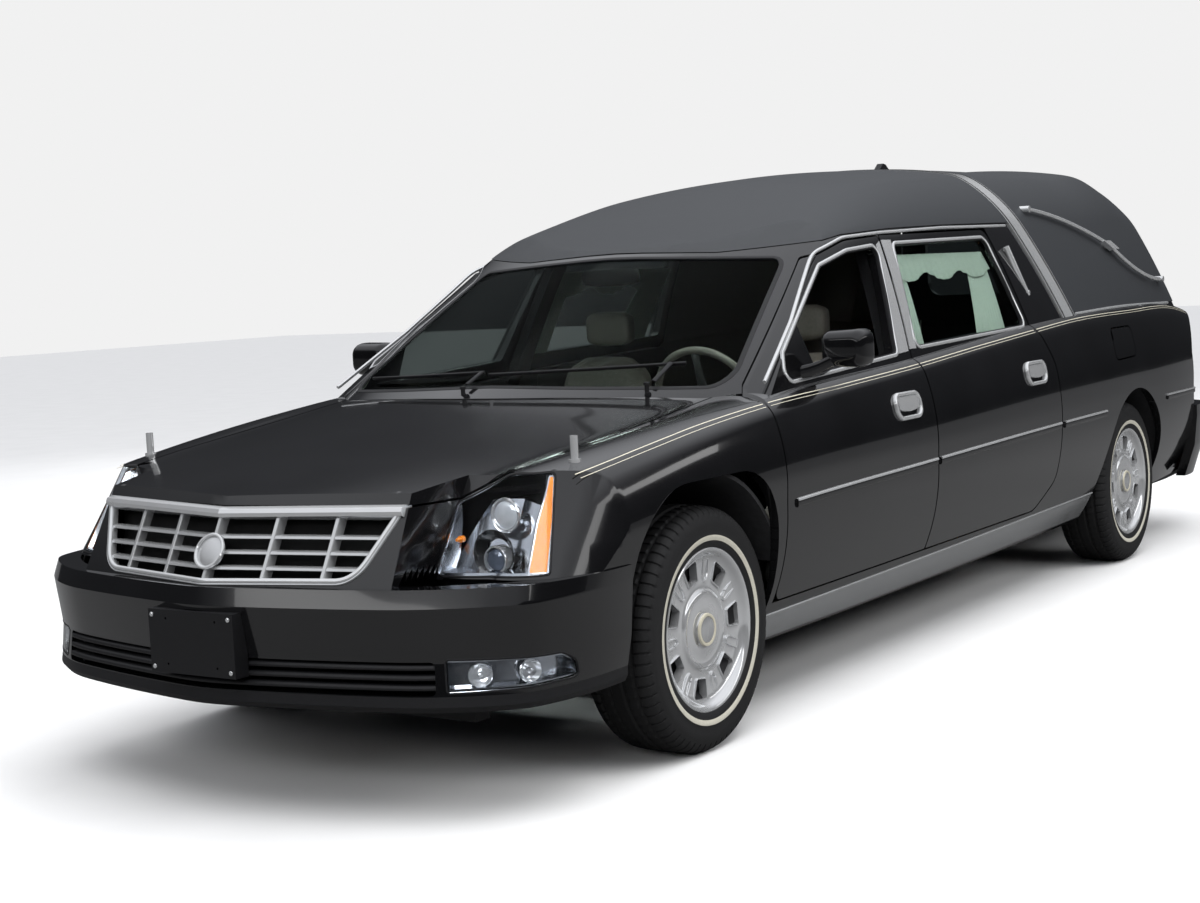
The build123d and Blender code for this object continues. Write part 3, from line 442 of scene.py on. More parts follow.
NOSE_LEVELS = [
    (500, (0, -1116), (563, -1011), (540, -820), (710, -812), (889, -767), (955, -450)),
    (950, (0, -879), (538, -780), (594, -608), (700, -560), (777, -509), (930, -330)),
]
NOSE_BOWS = (0, 0, 10, 22, 16)
TAIL_LEVELS = [
    (240, (0, 4952), (560, 4925), (830, 4810), (930, 4560)),
    (1130, (0, 4930), (560, 4900), (815, 4780), (920, 4540)),
]
TAIL_BOWS = (0, -30, -8)


def plan_line(corners, bows, n=9):
    """Half a plan outline through corners, its edges bowed."""
    out = [np.array([corners[0]], float)]
    for a, b, bow in zip(corners, corners[1:], bows):
        a, b = np.array([a], float), np.array([b], float)
        if bow:
            line = arc_rows(a, b, abs(bow), n)[0]
            if bow < 0:
                chord = np.linspace(a[0], b[0], n)
                line = 2 * chord - line
        else:
            line = np.linspace(a[0], b[0], n)
        out.append(line[1:])
    return np.concatenate(out)


def end_prism(levels, bows, far, shift=0.0, steps=6, name="end"):
    """Everything past the nose's or tail's faces."""
    loops = []
    (z0, *low), (z1, *high) = levels
    for w in np.linspace(0, 1, steps):
        corners = [((1 - w) * a[0] + w * b[0], (1 - w) * a[1] + w * b[1] + shift) for a, b in zip(low, high)]
        corners.append((1100, corners[-1][1]))
        half = plan_line(corners, list(bows) + [0])
        ring = np.concatenate([half, [[1100, far], [-1100, far]], (half[1:] * [-1, 1])[::-1]])
        z = z0 + (z1 - z0) * w
        loops.append(raised(ring, 2, z))
    return tube_between(name, loops)


outer_skin = lower_surface()
inner_skin = lower_surface(SKIN, np.arange(-1150, 5051, 62.0), 60)
roof_skin = roof_surface()
roof_inner = roof_surface(SKIN, np.arange(0, 4741, 60.0), 50)


# Panels
def values(items, attribute, size=0, kind=float):
    """An attribute of every item, in rows of size when it has several numbers."""
    out = np.empty(len(items) * max(size, 1), kind)
    items.foreach_get(attribute, out)
    return out.reshape(-1, size) if size else out


class Source:
    """Smooth normals of a dense solid, found again on the panels that are cut from it."""

    def __init__(self, obj, sharp=32):
        mesh = obj.data
        mesh.set_sharp_from_angle(angle=math.radians(sharp))
        mesh.calc_loop_triangles()
        self.co = values(mesh.vertices, "co", 3)
        self.tris = values(mesh.loop_triangles, "vertices", 3, int)
        self.corner = values(mesh.corner_normals, "vector", 3)[values(mesh.loop_triangles, "loops", 3, int)]
        self.tree = BVHTree.FromPolygons(self.co.tolist(), self.tris.tolist())

    def at(self, p):
        """Flat and smooth normal of the solid at a point on it."""
        hit, flat, index, _ = self.tree.find_nearest(p, 0.0004)
        if hit is None:
            return None
        a, b, c = self.co[self.tris[index]]
        v0, v1, v2 = b - a, c - a, np.array(hit) - a
        d00, d01, d11, d20, d21 = v0 @ v0, v0 @ v1, v1 @ v1, v2 @ v0, v2 @ v1
        det = d00 * d11 - d01 * d01
        if abs(det) < 1e-18:
            return None
        v, w = (d11 * d20 - d01 * d21) / det, (d00 * d21 - d01 * d20) / det
        n = self.corner[index]
        n = n[0] * (1 - v - w) + n[1] * v + n[2] * w
        return np.array(flat), n / max(np.linalg.norm(n), 1e-9)


def polish(obj, sources, sharp=28):
    """Gives a cut panel the smooth normals of the solids it was cut from."""
    mesh = obj.data
    mesh.polygons.foreach_set("use_smooth", [True] * len(mesh.polygons))
    mesh.set_sharp_from_angle(angle=math.radians(sharp))
    corner = values(mesh.corner_normals, "vector", 3)
    owner = values(mesh.loops, "vertex_index", kind=int)
    sizes = values(mesh.polygons, "loop_total", kind=int)
    facing = np.repeat(values(mesh.polygons, "normal", 3), sizes, axis=0)
    for source in sources:
        flat, smooth = np.zeros((2, len(mesh.vertices), 3))
        for i, vertex in enumerate(mesh.vertices):
            found = source.at(vertex.co)
            if found is not None:
                flat[i], smooth[i] = found
        align = np.sum(flat[owner] * facing, 1)
        near = np.abs(align) > 0.94
        corner[near] = smooth[owner][near] * np.sign(align[near])[:, None]
    mesh.normals_split_custom_set(corner.tolist())
    mesh.update()
    return obj


def flipped(obj, name):
    """The same piece on the other side."""
    twin = copy_of(obj, name)
    mesh = twin.data
    corner = None
    if mesh.has_custom_normals:
        corner = values(mesh.corner_normals, "vector", 3) * [-1, 1, 1]
    mesh.transform(Matrix.Scale(-1, 4, (1, 0, 0)))
    order = []
    for poly in mesh.polygons:
        ring = list(poly.loop_indices)
        order += [ring[0]] + ring[:0:-1]
    mesh.flip_normals()
    if corner is not None:
        mesh.normals_split_custom_set(corner[order].tolist())
    mesh.update()
    return twin


DOOR_BOTTOM = 365
DOOR_FRONT = 398
DOOR_SPLIT = 1488
HALF_GAP = 4
SPLIT_LEAN = 104
DRIP_FRONT = 1398
DRIP_SPLIT = 1450
DRIP_REAR = 1466
UPPER_GAP = 7
SILL_TOP = DOOR_BOTTOM - GAP
BUMPER_TOP = 606
REAR_BUMPER_TOP = 612
FRONT_DOOR = rounded([
    (DOOR_FRONT, DOOR_BOTTOM), (DOOR_SPLIT - HALF_GAP, DOOR_BOTTOM), (DOOR_SPLIT - HALF_GAP, 1030),
    (DOOR_SPLIT - UPPER_GAP + SPLIT_LEAN, DRIP_SPLIT), (1320, DRIP_SPLIT - 14), (1085, DRIP_FRONT - 14),
    (470, 1006), (DOOR_FRONT, 950)], [40, 8, 30, 12, 300, 60, 100, 30])
REAR_DOOR = rounded([
    (DOOR_SPLIT + HALF_GAP, DOOR_BOTTOM), (2520, DOOR_BOTTOM), (2668, 470), (2690, 700), (2672, 930),
    (2592, 1066), (2544, DRIP_REAR), (DOOR_SPLIT + UPPER_GAP + SPLIT_LEAN, DRIP_SPLIT + 3),
    (DOOR_SPLIT + HALF_GAP, 1030)], [8, 110, 60, 200, 150, 60, 40, 12, 30])
FRONT_WINDOW = rounded([(600, 1009), (1385, 1050), (1540, 1414), (1310, 1398), (1100, 1352), (650, 1089)],
                       [26, 24, 24, 200, 50, 16])
REAR_WINDOW = rounded([(1552, 1064), (2550, 1090), (2506, 1432), (1680, 1418)], [24, 24, 34, 34])
FRONT_ARCH = rounded([(-436, 120), (-436, 785), (318, 785), (362, 420), (366, 120)], [1, 300, 270, 90, 1])
LAMP = rounded([(-160, 607), (-88, 790), (52, 861), (169, 863), (116, 614)], [14, 40, 60, 14, 14])
HOOD_EDGE = [(0, -1300), (576, -1300), (584, -700), (694, -610), (706, -420), (717, -40), (719, 392)]
HOOD_BACK = 165
HOOD_LINE = 800
LOAD_DOOR = rounded([(-650, 632), (620, 632), (620, 1000), (552, 1086), (478, 1560), (-560, 1560),
                     (-640, 1086), (-650, 1000)], [40, 40, 60, 60, 90, 90, 60, 60])
LOAD_GLASS = rounded([(-400, 1180), (400, 1180), (380, 1500), (-380, 1500)], 60)
LOAD_HINGE = (626, 4945)
LOAD_SWEEP = 1240
FUEL_DOOR = rounded([(3390, 900), (3655, 905), (3655, 1030), (3390, 1030)], 30)
APERTURE = rounded([(-752, 1003), (0, 1026), (752, 1003), (622, 1393), (0, 1420), (-622, 1393)],
                   [45, 2500, 45, 60, 2500, 60])


def corner_prism(face, near=800, far=1500, name="lamp"):
    """An outline square to the left corner of the nose, pushed along the diagonal."""
    loops = [np.stack([(face[:, 0] + d) * DIAGONAL, (face[:, 0] - d) * DIAGONAL, face[:, 1]], 1)
             for d in (near, far)]
    return tube_between(name, loops)


def lamp_prism(by=0.0, near=800, far=1500):
    """The headlamp's outline pushed along the diagonal, grown by a margin."""
    return corner_prism(grown(LAMP, by) if by else LAMP, near, far)


def hood_outline(by=0.0):
    """The hood's plan, grown by a margin. Its rear edge is an arc."""
    edge = np.array(HOOD_EDGE, float)
    a, b = np.array([edge[-1]]), np.array([[0.0, HOOD_BACK]])
    half = edge[-1][0]
    rise = edge[-1][1] - HOOD_BACK
    radius = (half**2 + rise**2) / (2 * rise)
    xs = np.linspace(half, 0, 30)
    rear = np.stack([xs, HOOD_BACK + radius - np.sqrt(radius**2 - xs**2)], 1)
    side = np.concatenate([edge[1:-1], rear])
    ring = np.concatenate([side, (side[:-1] * [-1, 1])[::-1]])
    return grown(ring, by) if by else ring


def both_sides(tool):
    """The tool joined with its mirror image."""
    twin = flipped(tool, tool.name)
    tool.data = merged(tool.name, (tool, twin))
    drop(twin)
    return tool


def load_tool(by=0.0):
    """The load door's room, rounded off where the door sweeps on its hinge."""
    angle = np.linspace(0, 2 * np.pi, 180, endpoint=False)
    radius = LOAD_SWEEP + by
    turn = np.stack([LOAD_HINGE[0] + radius * np.cos(angle), LOAD_HINGE[1] + radius * np.sin(angle)], 1)
    tool = prism_y(grown(LOAD_DOOR, by) if by else LOAD_DOOR, LOAD_START, LOAD_END, "load_tool")
    return cut(tool, prism_z(turn, 400, 1800), "INTERSECT", False)


# Camera, floor and lights
AZIMUTH, DOWN, ROLL = math.radians(33.936), math.radians(5.179), math.radians(-2.82)
ahead = Vector((-math.sin(AZIMUTH) * math.cos(DOWN), math.cos(AZIMUTH) * math.cos(DOWN), -math.sin(DOWN)))
level = ahead.cross(Vector((0, 0, 1))).normalized()
upward = level.cross(ahead)
right = math.cos(ROLL) * level + math.sin(ROLL) * upward
upward = -math.sin(ROLL) * level + math.cos(ROLL) * upward
cam_data = bpy.data.cameras.new("camera")
cam_data.lens, cam_data.sensor_width = 56.96, 36
cam_data.clip_start, cam_data.clip_end = 0.1, 200
cam = placed("camera", cam_data)
turn = Matrix((right, upward, -ahead)).transposed().to_4x4()
cam.matrix_world = Matrix.Translation((3.6105, -6.5059, 1.3476)) @ turn
scene.camera = cam
scene.view_settings.view_transform = "Standard"


def nodes_of(owner):
    """The empty node tree of a material or world."""
    owner.use_nodes = True
    tree = owner.node_tree
    tree.nodes.clear()
    return tree, tree.nodes, tree.links


def wire(links, *wires):
    """Links each (node, output, node, input)."""
    for source, out, target, into in wires:
        links.new(source.outputs[out], target.inputs[into])


def set_inputs(node, values):
    """Sets a node's inputs by their labels."""
    for label, value in values.items():
        node.inputs[label].default_value = value


def add_world():
    """A pale backdrop to the eye, and a sky that is dark low down and bright overhead to the paint."""
    world = bpy.data.worlds.new("studio")
    scene.world = world
    tree, nodes, links = nodes_of(world)
    out = nodes.new("ShaderNodeOutputWorld")
    seen, lit = nodes.new("ShaderNodeBackground"), nodes.new("ShaderNodeBackground")
    mix, path = nodes.new("ShaderNodeMixShader"), nodes.new("ShaderNodeLightPath")
    grad, ramp = nodes.new("ShaderNodeTexGradient"), nodes.new("ShaderNodeValToRGB")
    place, coords = nodes.new("ShaderNodeMapping"), nodes.new("ShaderNodeTexCoord")
    set_inputs(place, {"Rotation": (0, math.radians(90), 0), "Location": (0.5, 0, 0),
                       "Scale": (0.5, 0.5, 0.5)})
    ramp.color_ramp.elements[0].position, ramp.color_ramp.elements[0].color = 0.49, (0.02, 0.021, 0.023, 1)
    ramp.color_ramp.elements[1].position, ramp.color_ramp.elements[1].color = 0.81, (0.93, 0.95, 1.0, 1)
    middle = ramp.color_ramp.elements.new(0.66)
    middle.color = (0.06, 0.062, 0.068, 1)
    seen.inputs["Color"].default_value = (0.88, 0.88, 0.88, 1)
    lit.inputs["Strength"].default_value = 0.75
    wire(links, (coords, "Generated", place, "Vector"), (place, "Vector", grad, "Vector"),
                (grad, "Color", ramp, "Fac"), (ramp, "Color", lit, "Color"),
                (path, "Is Camera Ray", mix, "Fac"), (lit, 0, mix, 1), (seen, 0, mix, 2),
                (mix, 0, out, "Surface"))


def material(name, base, rough=0.5, metal=0.0, coat=0.0, shade=0.06, scale=60.0, bump=0.0, bump_scale=None,
             spread=0.05, glow=0.0, alpha=1.0, through=0.0, ior=1.5, coat_rough=0.03):
    """A surface whose colour and roughness vary a little from place to place."""
    mat = bpy.data.materials.new(name)
    tree, nodes, links = nodes_of(mat)
    out, shader = nodes.new("ShaderNodeOutputMaterial"), nodes.new("ShaderNodeBsdfPrincipled")
    coords, noise = nodes.new("ShaderNodeTexCoord"), nodes.new("ShaderNodeTexNoise")
    ramp, rough_map = nodes.new("ShaderNodeValToRGB"), nodes.new("ShaderNodeMapRange")
    set_inputs(noise, {"Scale": scale, "Detail": 4})
    base = np.array(base, float)
    ramp.color_ramp.elements[0].position, ramp.color_ramp.elements[1].position = 0.3, 0.7
    ramp.color_ramp.elements[0].color = (*(base * (1 - shade)), 1)
    ramp.color_ramp.elements[1].color = (*np.minimum(base * (1 + shade), 1), 1)
    set_inputs(rough_map, {"To Min": max(rough - spread, 0.01), "To Max": min(rough + spread, 1)})
    set_inputs(shader, {"Metallic": metal, "Coat Weight": coat, "Coat Roughness": coat_rough, "IOR": ior,
                        "Alpha": alpha, "Transmission Weight": through})
    if glow:
        shader.inputs["Emission Strength"].default_value = glow
        links.new(ramp.outputs["Color"], shader.inputs["Emission Color"])
    wire(links, (coords, "Object", noise, "Vector"), (noise, "Fac", ramp, "Fac"),
                (noise, "Fac", rough_map, "Value"), (ramp, "Color", shader, "Base Color"),
                (rough_map, "Result", shader, "Roughness"))
    if bump:
        grain, lift = nodes.new("ShaderNodeTexNoise"), nodes.new("ShaderNodeBump")
        set_inputs(grain, {"Scale": bump_scale or scale * 4, "Detail": 3})
        set_inputs(lift, {"Strength": bump, "Distance": 0.001})
        wire(links, (coords, "Object", grain, "Vector"), (grain, "Fac", lift, "Height"),
                    (lift, "Normal", shader, "Normal"))
    links.new(shader.outputs[0], out.inputs["Surface"])
    mat.diffuse_color = (*base, 1)
    return mat


paint = material("paint", (0.0035, 0.0035, 0.004), 0.12, 0.0, 1.0, 0.3, 3.0, spread=0.04)
vinyl = material("vinyl", (0.026, 0.028, 0.031), 0.52, shade=0.14, scale=400, bump=0.5, bump_scale=520)
chrome = material("chrome", (0.80, 0.81, 0.82), 0.07, 0.72, shade=0.03, scale=8, spread=0.03)
satin = material("satin", (0.66, 0.67, 0.68), 0.22, 0.72, shade=0.04, scale=20, spread=0.06)
cream = material("cream", (0.72, 0.68, 0.55), 0.3, 0.3, shade=0.05)
trim = material("trim", (0.008, 0.008, 0.009), 0.45, shade=0.2, scale=200, bump=0.2)
gloss = material("gloss", (0.004, 0.004, 0.0045), 0.08, coat=0.6, shade=0.3, scale=10, spread=0.03)
# Dead black for painted shade: it stands for the shade behind the grille, behind the bumper's slots and
# inside the tail lamps
dark = material("dark", (0.004, 0.004, 0.004), 0.8, shade=0.3)
liner_mat = material("lining", (0.16, 0.15, 0.135), 0.8, shade=0.08, scale=300, bump=0.4)
rubber = material("rubber", (0.013, 0.013, 0.0135), 0.62, shade=0.15, scale=120, bump=0.25, bump_scale=900)
white_rubber = material("white_rubber", (0.55, 0.53, 0.45), 0.6, shade=0.06, scale=150)
leather = material("leather", (0.20, 0.185, 0.16), 0.48, shade=0.1, scale=90, bump=0.35, bump_scale=700)
leather_dark = material("leather_dark", (0.05, 0.05, 0.05), 0.48, shade=0.1, scale=90, bump=0.35,
                        bump_scale=700)
cloth = material("cloth", (0.50, 0.56, 0.49), 0.85, shade=0.05, scale=160, bump=0.3, bump_scale=1500)
wood = material("wood", (0.10, 0.05, 0.025), 0.35, coat=0.3, shade=0.3, scale=18)
amber = material("amber", (0.85, 0.25, 0.02), 0.15, coat=1.0, shade=0.08, scale=60, glow=0.12)
red = material("red", (0.35, 0.008, 0.008), 0.12, coat=1.0, shade=0.1, scale=60, glow=0.05)
steel = material("steel", (0.30, 0.30, 0.31), 0.4, 1.0, shade=0.15, scale=40)
iron = material("iron", (0.045, 0.045, 0.047), 0.6, 0.6, shade=0.2, scale=50, bump=0.3)
chassis_black = material("chassis_black", (0.02, 0.02, 0.021), 0.6, shade=0.2, scale=40, bump=0.2)
under = material("under", (0.03, 0.03, 0.032), 0.75, shade=0.2, scale=60, bump=0.3)
lamp_clear = material("lamp_clear", (0.95, 0.97, 1.0), 0.02, through=1.0, ior=1.12, shade=0.01, spread=0.01)
lamp_bowl = material("lamp_bowl", (0.55, 0.57, 0.60), 0.15, 1.0, shade=0.06, scale=30)
lamp_dark = material("lamp_dark", (0.10, 0.12, 0.16), 0.05, 0.4, coat=1.0, shade=0.1, scale=40, spread=0.02)
fog_mat = material("fog_lens", (0.80, 0.83, 0.86), 0.1, 0.35, coat=0.8, shade=0.08, scale=30)
glass = material("glass", (0.60, 0.66, 0.64), 0.02, through=1.0, ior=1.03, shade=0.02, spread=0.01)
FINISH = {"paint": paint, "vinyl": vinyl, "chrome": chrome, "cover": chrome, "glass": glass,
          "lamp": lamp_clear, "red_lamp": red, "trim": trim, "wheel_rim": steel, "leather": leather,
          "wood": wood, "drape": cloth, "tyre": rubber, "chassis": chassis_black, "underbody": under,
          "steel": steel, "iron": iron}


def area_light(name, at_m, look_m, size, power, colour=(1, 1, 1)):
    """A soft box at a place, turned to look at another."""
    data = bpy.data.lights.new(name, "AREA")
    data.shape, data.size, data.size_y, data.energy, data.color = "RECTANGLE", *size, power, colour
    obj = placed(name, data)
    obj.location = at_m
    obj.rotation_euler = (Vector(look_m) - Vector(at_m)).to_track_quat("-Z", "Y").to_euler()
    return obj


add_world()
area_light("overhead", (0.4, -0.2, 5.2), (0, 0, 0), (3.0, 9.0), 300).visible_glossy = False
area_light("side_soft", (7.5, 1.0, 4.2), (0, 0, 0.8), (9.0, 2.2), 300).visible_glossy = False
area_light("front_soft", (2.0, -9.5, 3.6), (0, -2, 0.8), (6.0, 2.5), 240).visible_glossy = False
area_light("rear_soft", (-5.5, 7.5, 4.0), (0, 1.5, 0.8), (6.0, 2.5), 240).visible_glossy = False
area_light("long_strip", (6.5, 0.5, 3.4), (0, 0, 0.8), (11.0, 0.55), 34)
area_light("nose_strip", (0.5, -8.0, 3.2), (0, -2, 0.8), (7.0, 0.6), 22)
sun_data = bpy.data.lights.new("even", "SUN")
sun_data.energy, sun_data.angle = 1.7, math.radians(50)
sun = placed("even", sun_data)
sun.rotation_euler = (math.radians(12), math.radians(14), 0)
sun.visible_glossy = False
floor_mesh = bpy.data.meshes.new("floor")
floor_mesh.from_pydata([(-40, -40, 0), (40, -40, 0), (40, 40, 0), (-40, 40, 0)], [], [(0, 1, 2, 3)])
floor = placed("floor", floor_mesh)
floor_mesh.materials.append(material("floor", (0.74, 0.74, 0.74), 0.85, shade=0.02, scale=3))
# The floor is pale to the eye and darker in reflections
tree = floor_mesh.materials[0].node_tree
nodes, links = tree.nodes, tree.links
shader = next(n for n in nodes if n.type == "BSDF_PRINCIPLED")
sight, blend = nodes.new("ShaderNodeLightPath"), nodes.new("ShaderNodeMixRGB")
seen = shader.inputs["Base Color"].links[0].from_socket
blend.inputs["Color1"].default_value = (0.11, 0.11, 0.11, 1)
links.new(sight.outputs["Is Camera Ray"], blend.inputs["Fac"])
links.new(seen, blend.inputs["Color2"])
links.new(blend.outputs["Color"], shader.inputs["Base Color"])


def own(obj, mat, body="body", *nodes):
    """Finish, body and the solids that a piece stands for."""
    if mat is not None:
        obj.data.materials.clear()
        obj.data.materials.append(mat)
    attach(obj, body)
    if nodes:
        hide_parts(*nodes)
    return obj


def pair(obj, mat, *nodes, body="body"):
    """A piece on the left and its twin on the right, where each name that says left says right."""
    swap = lambda text: text.replace("left", "right")
    own(obj, mat, body, *nodes)
    return own(flipped(obj, swap(obj.name)), mat, swap(body), *map(swap, nodes))


# Shells
low_tool = outer_skin.solid("low_tool")
top_tool = roof_skin.solid("top_tool")
nose = end_prism(NOSE_LEVELS, NOSE_BOWS, NOSE_FAR, name="nose")
tail = end_prism(TAIL_LEVELS, TAIL_BOWS, TAIL_FAR, name="tail")
low_solid = cut(cut(copy_of(low_tool, "low_solid"), nose), tail)
top_solid = copy_of(top_tool, "top_solid")
carve(top_solid, beyond(GLASS_ARCS, -1))
carve(top_solid, beyond(REAR_ARCS, 1))
inner_low = inner_skin.solid("inner_low")
carve(inner_low, end_prism(NOSE_LEVELS, NOSE_BOWS, NOSE_FAR, SKIN))
carve(inner_low, end_prism(TAIL_LEVELS, TAIL_BOWS, TAIL_FAR, -SKIN))
inner_top = roof_inner.solid("inner_top")
carve(inner_top, beyond(GLASS_ARCS, -1, SKIN))
carve(inner_top, beyond(REAR_ARCS, 1, -SKIN))
SOURCES = [Source(low_solid), Source(top_solid)]
shell = cut(cut(copy_of(low_solid, "shell"), inner_low), inner_top)
roof_shell = cut(cut(copy_of(top_solid, "roof_shell"), inner_top), low_tool)
whole = cut(copy_of(shell, "whole"), roof_shell, "UNION")

front_zone = prism_x(FRONT_DOOR, CABIN_X, WIDE, "front_zone")
rear_zone = prism_x(REAR_DOOR, CABIN_X, WIDE, "rear_zone")
front_room = prism_x(grown(FRONT_DOOR, GAP), CABIN_X, WIDE, "front_room")
rear_room = prism_x(grown(REAR_DOOR, 8), CABIN_X, WIDE, "rear_room")
relief = prism_x([(2500, 1080), (2601, 1080), (2559, DRIP_REAR + 8), (2500, DRIP_REAR + 8)], CABIN_X, WIDE)
cut(rear_room, relief, "UNION", False)
door_rooms = cut(copy_of(front_room, "door_rooms"), rear_room, "UNION")
both_sides(door_rooms)
arch = prism_x(FRONT_ARCH, CABIN_X, WIDE, "arch")
rear_arch = barrel(WHEELBASE, TYRE_R, 410, 560, WIDE, 120, "rear_arch")
lamp_tool = lamp_prism(0.3)
hood_tool = prism_z(hood_outline(), HOOD_LINE + 3, 1300, "hood_tool")
hood_room = prism_z(hood_outline(GAP), HOOD_LINE - 3, 1300, "hood_room")
load_room = load_tool(GAP)
load_shut = load_tool()

hood = cut(copy_of(shell, "hood"), hood_tool, "INTERSECT")
carve(hood, both_sides(lamp_prism(GAP)))
own(polish(hood, SOURCES), paint, "hood", "hood")

fender = shared(shell, "fender_left", block(576, WIDE, -1300, DOOR_FRONT - GAP, 200, 1100))
for tool in (arch, lamp_tool, hood_room, front_room):
    cut(fender, tool)
sill_room = block(700, WIDE, 354, 3228, 0, SILL_TOP + 0.3, "sill_room")
cut(fender, sill_room)
carve(fender, block(0, WIDE, -1300, FRONT_ARCH[0][0], 0, BUMPER_TOP))
carve(fender, block(0, 726, 200, 500, 850, 1200))
pair(polish(fender, SOURCES), paint, "front_fenders")

for tag, zone, window in (("front", front_zone, FRONT_WINDOW), ("rear", rear_zone, REAR_WINDOW)):
    panel = cut(copy_of(whole, f"{tag}_door_left_panel"), zone, "INTERSECT")
    carve(panel, prism_x(window, CABIN_X, WIDE))
    pair(polish(panel, SOURCES), paint, f"door_{tag}_left", body=f"{tag}_door_left")

rocker = shared(low_tool, "rocker_left", block(700, WIDE, 354, 3228, 215, SILL_TOP))
cut(cut(rocker, arch), rear_arch)
angle = np.linspace(0, 2 * np.pi, 120, endpoint=False)
sweep = np.stack([700 + STEER_SWEEP * np.cos(angle), STEER_SWEEP * np.sin(angle)], 1)
carve(rocker, prism_z(sweep, 0, 700))
pair(polish(rocker, SOURCES), paint, "rockers")

quarters = shared(shell, "quarters", block(-WIDE, WIDE, 2480, 5100, 200, 1200))
cut(quarters, door_rooms)
cut(quarters, load_room)
carve(quarters, both_sides(copy_of(rear_arch, "arch_both")))
carve(quarters, both_sides(block(0, WIDE, 2400, WHEELBASE - 409, 0, SILL_TOP)))
carve(quarters, block(-WIDE, WIDE, 4560, 5200, 0, REAR_BUMPER_TOP))
TAIL_LAMP = rounded([(700, 640), (880, 640), (860, 1010), (745, 1010)], 20)
tail_lamp_tool = both_sides(prism_y(TAIL_LAMP, 4690, 5200, "tail_lamp_tool"))
cut(quarters, tail_lamp_tool)
carve(quarters, prism_x(grown(FUEL_DOOR, GAP), 700, WIDE))
own(polish(quarters, SOURCES), paint, "body", "rear_quarters")
fuel = shared(shell, "fuel_flap", prism_x(FUEL_DOOR, 700, WIDE))
carve(fuel, block(0, 931, 3380, 3404, 880, 1050))
own(polish(fuel, SOURCES), paint, "fuel_door", "fuel_door")
lamps_rear = cut(copy_of(shell, "tail_lamp_lenses"), tail_lamp_tool, "INTERSECT")
own(polish(lamps_rear, SOURCES), red, "body", "tail_lamps")

load_panel = cut(copy_of(whole, "load_panel"), load_shut, "INTERSECT")
load_window = prism_y(LOAD_GLASS, LOAD_START, LOAD_END)
cut(load_panel, load_window)
own(polish(load_panel, SOURCES), paint, "load_door", "load_door")

roof = cut(cut(copy_of(roof_shell, "roof_panel"), door_rooms), load_room)
carve(roof, prism_y(APERTURE, 100, 1700))
own(polish(roof, SOURCES), paint, "body", "roof")


# Vinyl cover
def skin_layer(name, out, sunk):
    """A layer on the roof's skin, from sunk below it to out above it."""
    layer = roof_surface(-out).solid(name)
    carve(layer, beyond(REAR_ARCS, 1, out))
    carve(layer, beyond(GLASS_ARCS, -1, -out))
    core = roof_surface(sunk).solid("core")
    carve(core, beyond(REAR_ARCS, 1, -sunk))
    carve(core, beyond(GLASS_ARCS, -1, sunk))
    return carve(layer, core)


VINYL_ZONE = [(850, 1404), (940, 1412), (1000, 1417), (1160, 1438), (1320, 1460), (1700, 1479), (2150, 1489),
              (2700, 1495), (2880, 1495), (3030, 1118), (4600, 1112), (4900, 1112), (4900, 1900), (850, 1900)]
VINYL_TOP = 4
vinyl_layer = skin_layer("vinyl_layer", VINYL_TOP, 3)
vinyl_source = Source(vinyl_layer)
cut(vinyl_layer, prism_x(VINYL_ZONE, -WIDE, WIDE), "INTERSECT", False)
carve(vinyl_layer, prism_y(grown(APERTURE, 16), 100, 1500))
vinyl_door = cut(copy_of(vinyl_layer, "vinyl_load_door"), load_shut, "INTERSECT")
carve(vinyl_door, prism_y(grown(LOAD_GLASS, 16), LOAD_START, LOAD_END))
cut(vinyl_layer, load_room)
own(polish(vinyl_layer, [vinyl_source]), vinyl, "body")
own(polish(vinyl_door, [vinyl_source]), vinyl, "load_door")

BOW_WIDTH = 136
BOW_LINE = ((2984, 1046), (2709, 1810))
(bow_low, bow_low_z), (bow_high, bow_high_z) = BOW_LINE


def bow_band(name, start, end, out, sunk, mat):
    """A strip of the roof bow, from start to end across the bow's width."""
    layer = roof_surface(-out, np.arange(2500, 3400, 12.0)).solid(name)
    carve(layer, roof_surface(sunk, np.arange(2480, 3420, 20.0)).solid("core"))
    zone = [(bow_low + start, bow_low_z), (bow_low + end, bow_low_z), (bow_high + end, bow_high_z),
            (bow_high + start, bow_high_z)]
    cut(layer, prism_x(zone, -WIDE, WIDE), "INTERSECT", False)
    cut(layer, low_tool)
    return own(polish(layer, []), mat, "body", "roof_bow")


bow_band("bow_band", 0, BOW_WIDTH, 6, 4, chrome)
bow_band("bow_edge_front", 10, 19, 7.2, 0, gloss)
bow_band("bow_edge_rear", BOW_WIDTH - 19, BOW_WIDTH - 10, 7.2, 0, gloss)


